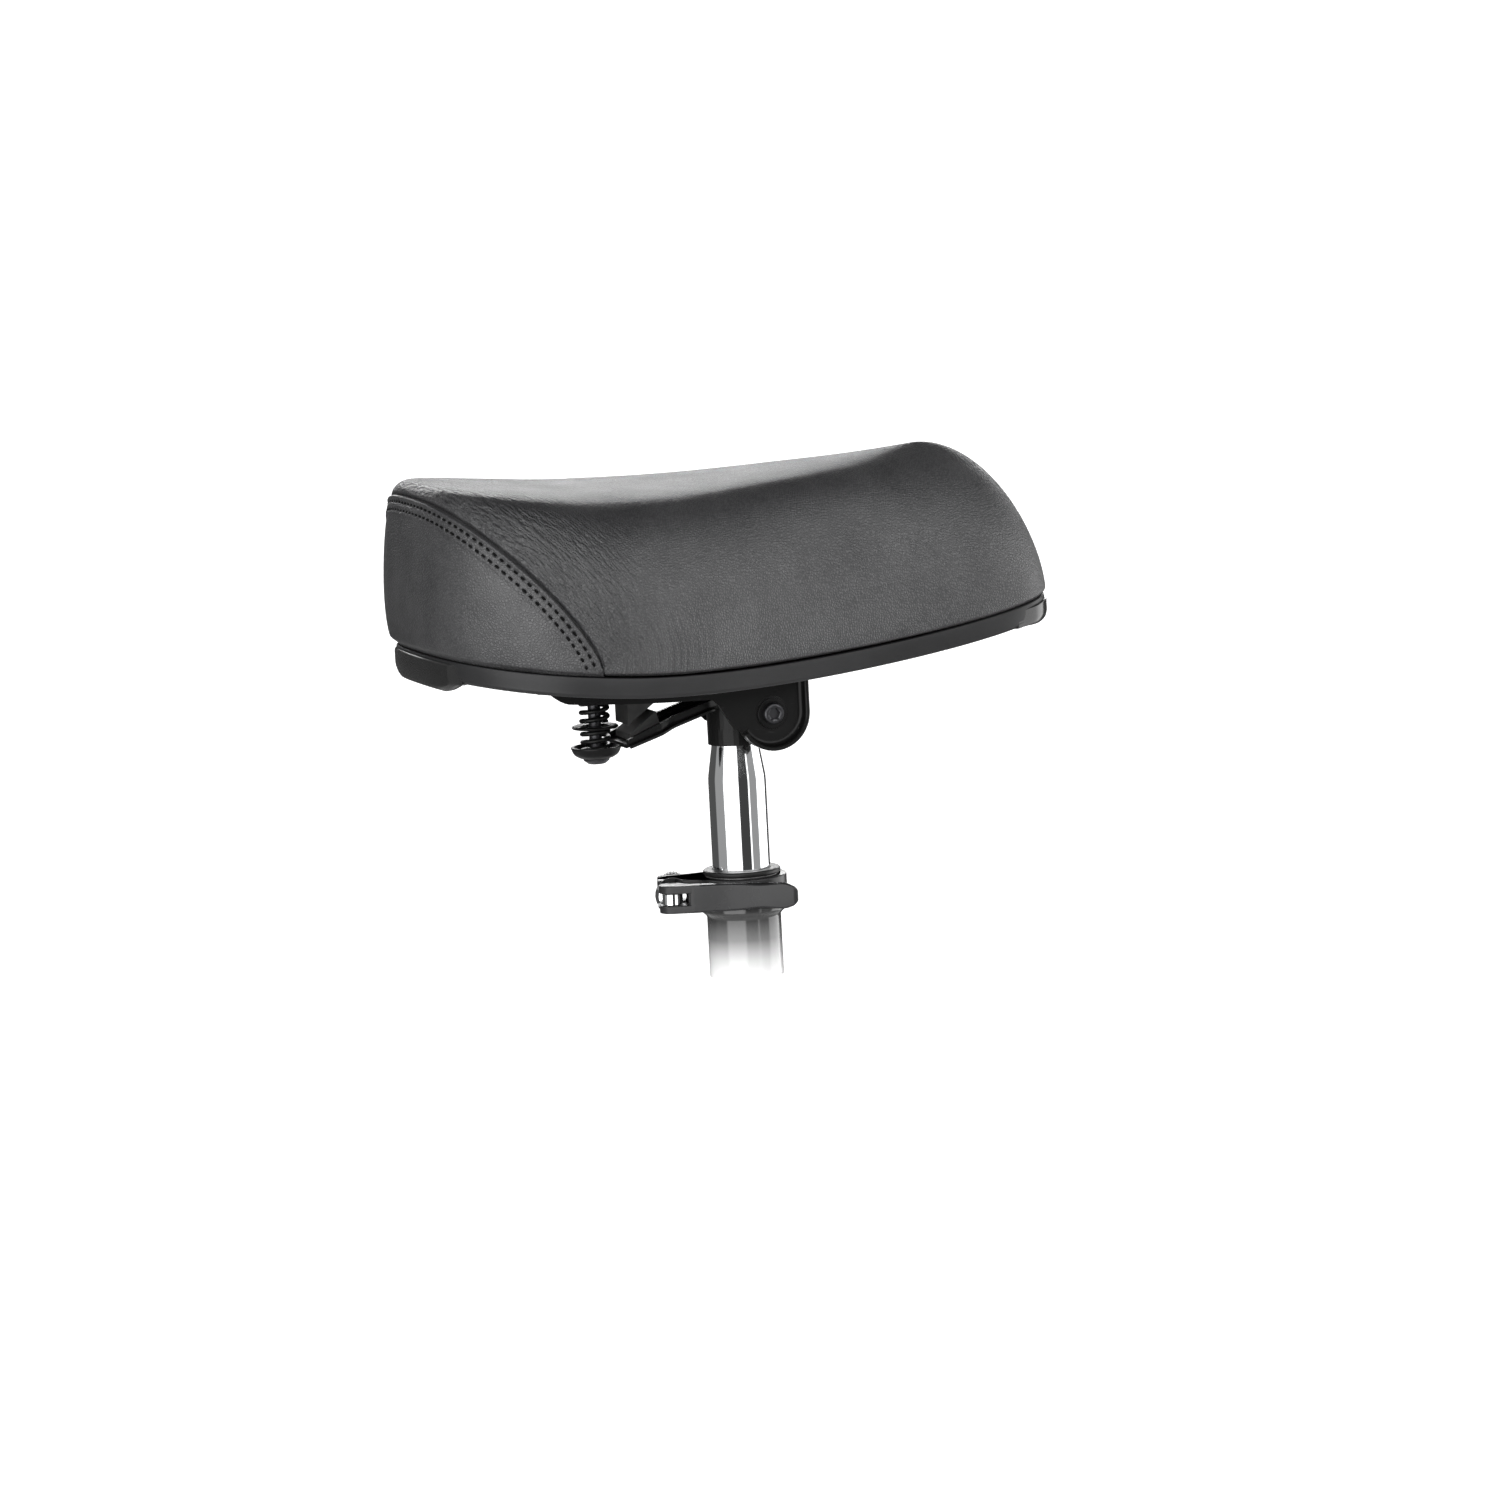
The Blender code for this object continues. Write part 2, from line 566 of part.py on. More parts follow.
def spring_stack(steel, black, rubber):
    """Two coil springs with a separator between them, on a bolt from the bracket."""
    at = (SPRING_X, 0, 0)
    coil("spring_lower", DISH_FLOOR_Z + GAP, SEPARATOR_Z - GAP, 3, steel)
    turned("spring_separator", [(4.6 * MM, 0), (11 * MM, 0), (11 * MM, 1.4 * MM), (4.6 * MM, 1.4 * MM)], black,
           (SPRING_X, 0, SEPARATOR_Z), steps=28)
    coil("spring_upper", SEPARATOR_Z + 1.4 * MM + GAP, SPRING_CUP_Z - GAP, 4.5, steel)
    turned("spring_cup", [(3.3 * MM, 0), (8.6 * MM, 0), (8.6 * MM, 1.4 * MM), (3.3 * MM, 1.4 * MM)], black,
           (SPRING_X, 0, SPRING_CUP_Z), steps=28)
    plate = float(rim_height(SPRING_X)) + PAN_FLOOR_LIFT - GAP - SHEET - PLATE_SLACK
    nut_low = SPRING_CUP_Z + 1.4 * MM + GAP
    hex_nut("spring_bolt_nut", nut_low, plate, steel, at)
    head = DISH_FLOOR_Z - 1.7 * MM - GAP
    turned("spring_bolt", [(0, head - 2.6 * MM), (4 * MM, head - 2.3 * MM), (6 * MM, head - 0.8 * MM),
                           (6.2 * MM, head), (3 * MM, head), (3 * MM, plate), (0, plate)], steel, at, steps=24)
    stop_front = -42 * MM
    stop_rear = -55.5 * MM
    drop = (stop_front - stop_rear) * math.tan(STOP_SLOPE)
    front_z = 134.6 * MM
    upper_top = float(rim_height(stop_front)) + PAN_FLOOR_LIFT - GAP - SHEET - GAP
    prism("stop_upper", [(stop_rear, upper_top), (stop_rear, front_z - drop), (stop_front, front_z),
                         (stop_front, upper_top)], -9 * MM, 9 * MM, rubber)
    play = 4.2 * MM
    low_z = front_z - play
    rear = stop_rear
    lift = SHEET + GAP
    prism("stop_lower", [(rear, low_z - drop), (rear, web_height(rear) + lift),
                         (stop_front + 2 * MM, web_height(stop_front + 2 * MM) + lift), (stop_front, low_z)],
          -10 * MM, 10 * MM, rubber)


# ---------------------------------------------------------------- post, tube and clamp

CLAMP_TURN = Matrix.Rotation(CLAMP_YAW, 4, "Z")


def in_clamp(obj):
    """Turn a piece from the clamp's own frame onto the tube."""
    obj.data.transform(CLAMP_TURN)
    return obj


def seat_post(material):
    """Tube with a swaged neck, open at both ends."""
    shoulder = [(13.4, 98), (12.9, 102.5), (12.0, 106.5)]
    profile = ([(POST_RADIUS, POST_FOOT_Z), (POST_RADIUS, SHOULDER_Z)] + [(r * MM, z * MM) for r, z in shoulder]
               + [(NECK_RADIUS, NECK_Z), (NECK_RADIUS, NECK_TOP_Z), (NECK_BORE, NECK_TOP_Z), (NECK_BORE, 106 * MM),
                  (POST_BORE, SHOULDER_Z - 3 * MM), (POST_BORE, POST_FOOT_Z)])
    return turned("seat_post", profile, material, steps=36)


def seat_tube(material):
    """Stub of the frame's seat tube, with a stop ring under the clamp and a clamping slot."""
    tube = turned("seat_tube", [(TUBE_RADIUS, 0), (TUBE_RADIUS, 29.2 * MM), (20 * MM, 31.4 * MM),
                                (20 * MM, 34.3 * MM), (TUBE_RADIUS, 34.3 * MM), (TUBE_RADIUS, TUBE_TOP_Z),
                                (TUBE_BORE, TUBE_TOP_Z), (TUBE_BORE, 0)], material, steps=36)
    slot = prism("tube_slot_cut", [(-24 * MM, -1.3 * MM), (-12 * MM, -1.3 * MM), (-12 * MM, 1.3 * MM),
                                   (-24 * MM, 1.3 * MM)], 36 * MM, 60 * MM, axis="Z")
    return combine(tube, [in_clamp(slot)], "DIFFERENCE")


def shim_sleeve(material):
    """Sleeve between the post and the tube, with a flange on the tube's top and a slit."""
    flange_low = TUBE_TOP_Z + GAP
    sleeve = turned("shim_sleeve", [(POST_RADIUS + 0.1 * MM, 20 * MM), (TUBE_BORE - 0.1 * MM, 20 * MM),
                                    (TUBE_BORE - 0.1 * MM, flange_low), (18.2 * MM, flange_low),
                                    (18.2 * MM, flange_low + 1.6 * MM), (17.4 * MM, flange_low + 2.2 * MM),
                                    (POST_RADIUS + 0.1 * MM, flange_low + 2.2 * MM)], material, steps=36)
    slit = prism("shim_slit_cut", [(-24 * MM, -0.9 * MM), (-8 * MM, -0.9 * MM), (-8 * MM, 0.9 * MM),
                                   (-24 * MM, 0.9 * MM)], 10 * MM, 60 * MM, axis="Z")
    return combine(sleeve, [in_clamp(slit)], "DIFFERENCE")


def clamp_collar(material):
    """Split collar with two ears at the rear, drilled for the skewer."""
    inner = TUBE_RADIUS + 0.15 * MM
    outer_angle = math.degrees(math.asin(EAR_OUTER_Y / COLLAR_RADIUS))
    inner_angle = math.degrees(math.asin(EAR_INNER_Y / inner))
    ear_x = SKEWER_X - 7 * MM
    chamfer = 2.5 * MM
    outline = ([(ear_x + chamfer, -EAR_OUTER_Y)]
               + arc((0, 0), COLLAR_RADIUS, -180 + outer_angle, 180 - outer_angle, 30)
               + [(ear_x + chamfer, EAR_OUTER_Y), (ear_x, EAR_OUTER_Y - chamfer), (ear_x, EAR_INNER_Y)]
               + arc((0, 0), inner, 180 - inner_angle, -180 + inner_angle, 30)
               + [(ear_x, -EAR_INNER_Y), (ear_x, -EAR_OUTER_Y + chamfer)])
    collar = prism("clamp_collar", outline, COLLAR_LOW_Z, COLLAR_HIGH_Z, material, "Z")
    hole = drill("collar_drill", SKEWER_RADIUS + 0.3 * MM, -20 * MM, 20 * MM, (SKEWER_X, 0, SKEWER_Z), ALONG_Y)
    in_clamp(hole)
    return combine(in_clamp(collar), [hole], "DIFFERENCE")


def quick_release(chrome, black):
    """Skewer with an eye on the cam pin, cam seat, lever and adjusting nut."""
    on_axis = (SKEWER_X, 0, SKEWER_Z)
    on_pin = (SKEWER_X, CAM_Y, SKEWER_Z)
    skewer = in_clamp(turned("skewer", [(0, CAM_Y + 3.5 * MM), (SKEWER_RADIUS, CAM_Y + 3.5 * MM),
                                        (SKEWER_RADIUS, 19 * MM), (0, 19 * MM)], chrome, on_axis, ALONG_Y, 20))
    eye = turned("skewer_eye", [(0, -2.4 * MM), (4.8 * MM, -2.4 * MM), (4.8 * MM, 2.4 * MM), (0, 2.4 * MM)],
                 None, on_pin, steps=24)
    combine(skewer, [in_clamp(eye)], "UNION")
    combine(skewer, [in_clamp(drill("eye_drill", 2.1 * MM, -6 * MM, 6 * MM, on_pin))], "DIFFERENCE")
    in_clamp(turned("cam_pin", [(0, -6.6 * MM), (2 * MM, -6.6 * MM), (2 * MM, 6.6 * MM), (0, 6.6 * MM)],
                    chrome, on_pin, steps=20))
    seat_far = -EAR_OUTER_Y - GAP
    seat_near = CAM_Y + 6.6 * MM
    in_clamp(turned("cam_seat", [(2.8 * MM, seat_near), (6.4 * MM, seat_near), (8.2 * MM, seat_far - 2 * MM),
                                 (8.2 * MM, seat_far), (2.8 * MM, seat_far)], chrome, on_axis, ALONG_Y, 28))
    cam = arc((SKEWER_X / MM, CAM_Y / MM), 6.2, 20, 270, 16)
    blade = [(-20, -28.0), (-6, -27.8), (7, -28.6), (17, -31.0), (24, -33.0), (26, -32.2), (25.6, -30),
             (17, -27.2), (8, -24.9), (-2, -23.6), (-14, -22.8), (-24, -21.6)]
    outline = [(x * MM, y * MM) for x, y in cam + blade]
    low = COLLAR_LOW_Z + 0.2 * MM
    lever = prism("quick_release_lever", outline, low, COLLAR_HIGH_Z, black, "Z")
    slot = prism("lever_slot_cut", [(-45 * MM, SKEWER_Z - 2.8 * MM), (-24.5 * MM, SKEWER_Z - 2.8 * MM),
                                    (-24.5 * MM, SKEWER_Z + 2.8 * MM), (-45 * MM, SKEWER_Z + 2.8 * MM)],
                 -40 * MM, -8 * MM)
    pin_hole = drill("lever_pin_drill", 2.08 * MM, -12 * MM, 12 * MM, on_pin)
    combine(in_clamp(lever), [in_clamp(slot), in_clamp(pin_hole)], "DIFFERENCE")
    nut_near = EAR_OUTER_Y + GAP
    in_clamp(turned("adjusting_nut", [(SKEWER_RADIUS + 0.08 * MM, nut_near), (6.6 * MM, nut_near),
                                      (7.2 * MM, nut_near + 1 * MM), (7.2 * MM, nut_near + 7 * MM),
                                      (6 * MM, nut_near + 8.4 * MM), (SKEWER_RADIUS + 0.08 * MM, nut_near + 8.4 * MM)],
                    black, on_axis, ALONG_Y, 20))


# ---------------------------------------------------------------- assembly

def joint_empty(name, at, children):
    """An empty on a joint's axis that carries the pieces which move with it."""
    empty = bpy.data.objects.new(name, None)
    empty.empty_display_size = 0.02
    empty.location = at
    bpy.context.scene.collection.objects.link(empty)
    for child_name in children:
        child = bpy.data.objects[child_name]
        child.parent = empty
        child.matrix_parent_inverse = Matrix.Translation(-Vector(at))
    return empty


def build():
    clear_scene()
    leatherette = finish_colour("leatherette", (0.022, 0.022, 0.024), 0.0, 0.5)
    foam = finish_colour("foam", (0.3, 0.3, 0.28), 0.0, 0.95)
    plastic = finish_colour("pan_plastic", (0.045, 0.045, 0.047), 0.0, 0.45)
    guard = finish_colour("bumper_plastic", (0.05, 0.05, 0.052), 0.0, 0.25)
    black = finish_colour("black_steel", (0.012, 0.012, 0.013), 0.6, 0.35)
    zinc = finish_colour("dark_zinc", (0.06, 0.06, 0.065), 0.9, 0.35)
    rubber = finish_colour("stop_rubber", (0.015, 0.015, 0.015), 0.0, 0.8)
    chrome = finish_colour("chrome", (0.75, 0.76, 0.78), 1.0, 0.07)
    paint = finish_colour("tube_paint", (0.25, 0.25, 0.26), 0.5, 0.3)
    bolt_places = [(x * MM, y * MM) for x in (-88, 22) for y in (-13, 13)]
    cover_panels(leatherette)
    foam_core(foam)
    base_pan(plastic, bolt_places)
    edge_band(plastic)
    bumpers(guard)
    bracket_bolts(zinc, bolt_places)
    upper_bracket(black, bolt_places)
    rocker_arm(black)
    post_head(black)
    hinge_pieces(zinc, black)
    spring_stack(zinc, black, rubber)
    seat_post(chrome)
    seat_tube(paint)
    shim_sleeve(black)
    clamp_collar(black)
    quick_release(chrome, black)
    joint_empty("saddle_pivot", (HINGE_X, 0, HINGE_Z),
                ["cover_main_panel", "cover_rear_panel", "foam_core", "base_pan", "edge_band", "rear_bumper",
                 "front_bumper", "upper_bracket", "hinge_bolt", "hinge_nut", "hinge_washer_near",
                 "hinge_washer_far", "spring_cup", "spring_bolt", "spring_bolt_nut", "stop_upper"]
                + [f"bracket_bolt_{k}" for k in (1, 2, 3, 4)])
    pin = CLAMP_TURN @ Vector((SKEWER_X, CAM_Y, SKEWER_Z))
    joint_empty("lever_pivot", pin, ["quick_release_lever"])
    joint_empty("nut_axis", CLAMP_TURN @ Vector((SKEWER_X, 0, SKEWER_Z)), ["adjusting_nut"])
    joint_empty("post_axis", (0, 0, TUBE_TOP_Z),
                ["seat_post", "post_head", "rocker_arm", "hinge_bush", "stop_lower", "spring_lower",
                 "spring_separator", "spring_upper"])


build()
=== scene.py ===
import math

import bmesh
import bpy
import numpy as np
from mathutils import Matrix, Vector


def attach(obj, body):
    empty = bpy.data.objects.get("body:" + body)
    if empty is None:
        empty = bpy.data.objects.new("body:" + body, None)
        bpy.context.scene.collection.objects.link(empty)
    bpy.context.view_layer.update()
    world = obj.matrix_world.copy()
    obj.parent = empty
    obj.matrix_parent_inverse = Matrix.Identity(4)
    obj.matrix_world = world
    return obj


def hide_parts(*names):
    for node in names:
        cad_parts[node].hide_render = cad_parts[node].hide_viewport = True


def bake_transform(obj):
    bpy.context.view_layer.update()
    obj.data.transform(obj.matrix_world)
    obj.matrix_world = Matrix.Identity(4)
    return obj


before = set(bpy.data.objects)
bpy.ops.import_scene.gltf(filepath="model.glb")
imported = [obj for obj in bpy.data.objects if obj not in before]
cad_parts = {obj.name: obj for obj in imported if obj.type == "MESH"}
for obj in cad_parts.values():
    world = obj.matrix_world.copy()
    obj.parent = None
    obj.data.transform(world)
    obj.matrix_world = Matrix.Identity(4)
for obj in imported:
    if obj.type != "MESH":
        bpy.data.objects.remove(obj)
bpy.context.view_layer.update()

MM = 0.001
GAP = 0.3 * MM                        # air left between pieces that touch
DEG = math.pi / 180

# ---------------------------------------------------------------- measures shared with the model

REAR_X = -156 * MM
NOSE_X = 158.5 * MM
WIDEST_X = -78 * MM
HALF_WIDTH = 86.5 * MM
NOSE_TAPER = 0.48
SPINE_SHARE = 0.6
RIM_LOW_Z = 144.2 * MM
RIM_LOW_X = -1 * MM
RIM_RISE = 13.6 * MM
RIM_REACH = 152 * MM
BAND_HEIGHT = 10 * MM
CROWN_LOW_Z = 237.2 * MM
CROWN_LOW_X = -30 * MM
CREST_DIP = 9.2 * MM
NOSE_DIP = 5 * MM
REAR_BULGE = 4 * MM
SIDE_BULGE = 2.6 * MM
NOSE_BULGE = 0.4 * MM
SEAM_FOOT = (-93 * MM, 161.5 * MM)
SEAM_TOP = (-159 * MM, 245.5 * MM)
SEAM_POWER = 1.35
PAN_FLOOR_LIFT = 6.7 * MM
SHEET = 2 * MM
BRACKET_HALF_WIDTH = 22 * MM
BRACKET_REAR_X = -106 * MM
BRACKET_DROP = 9.5 * MM
EAR_RADIUS = 17.5 * MM
EAR_LIP = 5 * MM
HINGE = np.array([11, 0, 126]) * MM
ARM_HALF_WIDTH = 15.5 * MM
ARM_WAIST = 4.5 * MM
WEB_SLOPE = 0.3
WEB_X = -42 * MM
WEB_Z = 119.8 * MM
SPRING_X = -69 * MM
SPRING_RADIUS = 6.2 * MM
SPRING_WIRE = 1.1 * MM
DISH_FLOOR_Z = 111.7 * MM
SEPARATOR_Z = 124 * MM
SPRING_CUP_Z = 144.2 * MM
POST_RADIUS = 13.6 * MM
NECK_RADIUS = 11.1 * MM
POST_BORE = 11.2 * MM
NECK_BORE = 8.9 * MM
POST_FOOT_Z = 8 * MM
NECK_TOP_Z = 117 * MM
TUBE_RADIUS = 17.45 * MM
TUBE_BORE = 15.8 * MM
TUBE_TOP_Z = 48.6 * MM
COLLAR_RADIUS = 21 * MM
COLLAR_LOW_Z = 34.6 * MM
COLLAR_HIGH_Z = 48 * MM
CLAMP_YAW = -20 * DEG
SKEWER_X = -33 * MM
SKEWER_Z = 41.3 * MM
CAM_Y = -21.5 * MM

# ---------------------------------------------------------------- mesh helpers


def quads(rows, cols, wrap_rows, wrap_cols):
    """Corner numbers of the quads on a grid whose point (r, c) is number r * cols + c."""
    r, c = np.meshgrid(np.arange(rows if wrap_rows else rows - 1),
                       np.arange(cols if wrap_cols else cols - 1), indexing="ij")
    r2, c2 = (r + 1) % rows, (c + 1) % cols
    return np.stack([r * cols + c, r * cols + c2, r2 * cols + c2, r2 * cols + c], -1).reshape(-1, 4)


def patch(grid, wrap_rows=False, wrap_cols=False, capped=False):
    """One grid surface: its points, how it closes, and whether its first and last rows are filled."""
    return np.asarray(grid, float), wrap_rows, wrap_cols, capped


def build(name, patches, material, sharp=40, merge=2e-6, fields=None):
    """A mesh object from grid surfaces, with doubles merged and faces turned outwards.

    fields maps a name to one vector per point, kept as a point attribute for the material.
    """
    points, loops, starts, offset, corner = [], [], [], 0, 0
    for grid, wrap_rows, wrap_cols, capped in patches:
        rows, cols = grid.shape[:2]
        faces = quads(rows, cols, wrap_rows, wrap_cols) + offset
        loops.append(faces.ravel())
        starts.append(corner + 4 * np.arange(len(faces)))
        corner += 4 * len(faces)
        if capped:
            for ring in (offset + np.arange(cols)[::-1], offset + (rows - 1) * cols + np.arange(cols)):
                loops.append(ring)
                starts.append(np.array([corner]))
                corner += cols
        points.append(grid.reshape(-1, 3))
        offset += rows * cols
    points, loops, starts = np.vstack(points), np.concatenate(loops), np.concatenate(starts)
    mesh = bpy.data.meshes.new(name)
    mesh.vertices.add(len(points))
    mesh.vertices.foreach_set("co", points.astype(np.float32).ravel())
    mesh.loops.add(len(loops))
    mesh.loops.foreach_set("vertex_index", loops.astype(np.int32))
    mesh.polygons.add(len(starts))
    mesh.polygons.foreach_set("loop_start", starts.astype(np.int32))
    mesh.update(calc_edges=True)
    for field, values in (fields or {}).items():
        layer = mesh.attributes.new(field, "FLOAT_VECTOR", "POINT")
        layer.data.foreach_set("vector", values.astype(np.float32).ravel())
    bm = bmesh.new()
    bm.from_mesh(mesh)
    bmesh.ops.remove_doubles(bm, verts=bm.verts, dist=merge)
    bmesh.ops.dissolve_degenerate(bm, edges=bm.edges, dist=merge / 4)
    bmesh.ops.recalc_face_normals(bm, faces=bm.faces)
    bm.to_mesh(mesh)
    bm.free()
    mesh.materials.append(material)
    mesh.shade_smooth()
    mesh.set_sharp_from_angle(angle=sharp * DEG)
    obj = bpy.data.objects.new(name, mesh)
    bpy.context.scene.collection.objects.link(obj)
    return obj


def rounded(outline, radius, steps=4):
    """A closed outline whose corners are eased.

    Each corner P with neighbours A and B becomes the curve (1-s)^2 Q + 2s(1-s) P + s^2 R, where Q and R
    lie on the two sides at the given distance from P, or 0.45 of the side where that is less.
    """
    p = np.asarray(outline, float)
    radius = np.broadcast_to(np.asarray(radius, float), (len(p),))
    a, b = np.roll(p, 1, 0) - p, np.roll(p, -1, 0) - p
    la, lb = np.linalg.norm(a, axis=1), np.linalg.norm(b, axis=1)
    cut = np.minimum(radius, 0.45 * np.minimum(la, lb))
    q, r = p + a * (cut / la)[:, None], p + b * (cut / lb)[:, None]
    s = np.linspace(0, 1, steps + 1)[None, :, None]
    return ((1 - s) ** 2 * q[:, None] + 2 * s * (1 - s) * p[:, None] + s ** 2 * r[:, None]).reshape(-1, 2)


def lathe(profile, at=(0, 0, 0), axis="Z", steps=96, phase=0.0):
    """A closed (radius, height) outline carried round an axis: (r cos a, r sin a, h), moved to a place."""
    profile = np.asarray(profile, float)
    a = phase + np.arange(steps) * 2 * np.pi / steps
    r, h = profile[:, 0][:, None], profile[:, 1][:, None] + 0 * a
    if axis == "Z":
        grid = np.stack([r * np.cos(a), r * np.sin(a), h], -1)
    else:
        grid = np.stack([r * np.cos(a), h, -r * np.sin(a)], -1)
    return patch(grid + np.asarray(at), wrap_rows=True, wrap_cols=True)


def plate(outline, low, high, edge, axis="Z", steps=4):
    """An outline carried straight from low to high, with edges rounded over by the radius edge.

    Near each end, the outline steps inwards along its own normals by edge * (1 - cos a) while it
    travels edge * (1 - sin a) short of the end, for a from 0 to 90 degrees.
    """
    p = np.asarray(outline, float)
    along = np.roll(p, -1, 0) - np.roll(p, 1, 0)
    along /= np.linalg.norm(along, axis=1)[:, None] + 1e-12
    area = np.sum(p[:, 0] * np.roll(p[:, 1], -1) - np.roll(p[:, 0], -1) * p[:, 1])
    inward = np.column_stack([-along[:, 1], along[:, 0]]) * (1 if area > 0 else -1)
    a = np.linspace(np.pi / 2, 0, steps + 1)
    inset = edge * np.concatenate([1 - np.cos(a), (1 - np.cos(a))[::-1]])
    level = np.concatenate([low + edge * (1 - np.sin(a)), (high - edge * (1 - np.sin(a)))[::-1]])
    flat = p[None] + inset[:, None, None] * inward[None]
    level = np.broadcast_to(level[:, None], flat.shape[:2])
    if axis == "Z":
        grid = np.stack([flat[..., 0], flat[..., 1], level], -1)
    elif axis == "X":
        grid = np.stack([level, flat[..., 0], flat[..., 1]], -1)
    else:
        grid = np.stack([flat[..., 0], level, flat[..., 1]], -1)
    return patch(grid, wrap_cols=True, capped=True)


def arc(centre, radius, start, stop, steps):
    """Points on an arc in a plane, angles in degrees."""
    a = np.linspace(start, stop, steps + 1) * DEG
    return np.column_stack([centre[0] + radius * np.cos(a), centre[1] + radius * np.sin(a)])


def tube_along(path, across, radius, sides=14):
    """A round rod along a path: path + radius * (cos a * across + sin a * (tangent x across))."""
    tangent = np.gradient(path, axis=0)
    tangent /= np.linalg.norm(tangent, axis=1)[:, None]
    side = across - np.sum(across * tangent, 1)[:, None] * tangent
    side /= np.linalg.norm(side, axis=1)[:, None]
    third = np.cross(tangent, side)
    a = np.arange(sides) * 2 * np.pi / sides
    ring = np.cos(a)[None, :, None] * side[:, None] + np.sin(a)[None, :, None] * third[:, None]
    return path[:, None] + radius[:, None, None] * ring


def turned_about_z(patches, angle):
    """The same surfaces turned about the Z axis."""
    c, s = math.cos(angle), math.sin(angle)
    spin = np.array([[c, s, 0], [-s, c, 0], [0, 0, 1]])
    return [(grid @ spin, *rest) for grid, *rest in patches]


def smooth(low, high, value):
    """0 up to low, 1 from high, and 3s^2 - 2s^3 between them."""
    share = np.clip((value - low) / (high - low), 0, 1)
    return share * share * (3 - 2 * share)


def hill(value, centre, width):
    """A bell of height 1."""
    return np.exp(-((value - centre) / width) ** 2)


# ---------------------------------------------------------------- material helpers


class NodeTree:
    """Puts a node tree together node by node."""

    def __init__(self, tree):
        self.nodes = tree.nodes
        self.links = tree.links

    def node(self, kind, inputs=None, **settings):
        made = self.nodes.new(kind)
        for key, value in settings.items():
            setattr(made, key, value)
        for key, value in (inputs or {}).items():
            if isinstance(value, bpy.types.NodeSocket):
                self.links.new(value, made.inputs[key])
            else:
                made.inputs[key].default_value = value
        return made

    def ramp(self, value, stops):
        """Numbers or colours at places from 0 to 1."""
        made = self.node("ShaderNodeValToRGB", {"Fac": value})
        elements = made.color_ramp.elements
        while len(elements) < len(stops):
            elements.new(0.5)
        for element, (where, level) in zip(elements, stops):
            element.position = where
            element.color = (*level, 1) if isinstance(level, tuple) else (level, level, level, 1)
        return made.outputs["Color"]

    def maths(self, operation, *values):
        return self.node("ShaderNodeMath", dict(enumerate(values)), operation=operation).outputs[0]

    def spread(self, value, low, high, out_low=0.0, out_high=1.0):
        """The value's place between low and high, carried to the output's own range and held there."""
        made = self.node("ShaderNodeMapRange", {"Value": value, "From Min": low, "From Max": high,
                                                "To Min": out_low, "To Max": out_high})
        return made.outputs["Result"]


class Shader(NodeTree):
    """A Principled material."""

    def __init__(self, name, colour, metallic=0.0, roughness=0.5):
        self.material = bpy.data.materials.new(name)
        self.material.use_nodes = True
        super().__init__(self.material.node_tree)
        self.surface = self.nodes["Principled BSDF"]
        self.set("Base Color", (*colour, 1))
        self.set("Metallic", metallic)
        self.set("Roughness", roughness)
        self.place = self.nodes.new("ShaderNodeTexCoord").outputs["Object"]

    def set(self, socket, value):
        self.surface.inputs[socket].default_value = value

    def noise(self, scale, detail=2.0, place=None):
        made = self.node("ShaderNodeTexNoise", {"Vector": place or self.place, "Scale": scale,
                                                "Detail": detail, "Roughness": 0.5})
        return made.outputs["Fac"]

    def bump(self, height, distance, strength=1.0, under=None):
        inputs = {"Height": height, "Distance": distance, "Strength": strength}
        if under is not None:
            inputs["Normal"] = under
        return self.node("ShaderNodeBump", inputs).outputs["Normal"]

    def link(self, value, socket):
        self.links.new(value, self.surface.inputs[socket])


def leather_finish():
    """Black grained leatherette: cell grain, a finer pebble, soft mottling and pulled creases at the seam."""
    s = Shader("leatherette", (0.022, 0.022, 0.023), roughness=0.40)
    wander = s.node("ShaderNodeTexNoise", {"Vector": s.place, "Scale": 260.0, "Detail": 2.0})
    offset = s.node("ShaderNodeVectorMath", {0: wander.outputs["Color"], 1: (-0.5, -0.5, -0.5)},
                    operation="ADD").outputs[0]
    shift = s.node("ShaderNodeVectorMath", {0: offset, "Scale": 0.0011}, operation="SCALE").outputs[0]
    warped = s.node("ShaderNodeVectorMath", {0: s.place, 1: shift}, operation="ADD").outputs[0]
    cells = s.node("ShaderNodeTexVoronoi", {"Vector": warped, "Scale": 760.0},
                   feature="DISTANCE_TO_EDGE").outputs["Distance"]
    grain = s.ramp(cells, [(0.0, 0.0), (0.30, 0.75), (0.60, 1.0)])
    pebble = s.noise(2600.0, 2.0)
    mottle = s.noise(38.0, 4.0)
    seam_map = s.node("ShaderNodeAttribute", attribute_name="seam_map").outputs["Vector"]
    parts = s.node("ShaderNodeSeparateXYZ", {0: seam_map}).outputs
    pulled = s.node("ShaderNodeCombineXYZ", {0: s.maths("MULTIPLY", parts[0], 170.0),
                                             1: s.maths("MULTIPLY", parts[1], 520.0)}).outputs[0]
    crease = s.noise(1.0, 3.0, place=pulled)
    crease = s.ramp(crease, [(0.36, 0.0), (0.62, 1.0)])
    crease_height = s.maths("MULTIPLY", crease, parts[2])
    first = s.bump(crease_height, 0.0008)
    second = s.bump(grain, 0.00017, under=first)
    third = s.bump(pebble, 0.00004, under=second)
    s.link(third, "Normal")
    s.link(s.ramp(s.maths("MULTIPLY_ADD", mottle, 0.6, s.maths("MULTIPLY", grain, 0.4)),
                  [(0.25, (0.016, 0.016, 0.017)), (0.75, (0.044, 0.044, 0.045))]), "Base Color")
    s.link(s.spread(s.maths("MULTIPLY_ADD", mottle, 0.5, s.maths("MULTIPLY", grain, 0.25)),
                    0.2, 0.75, 0.46, 0.31), "Roughness")
    return s.material


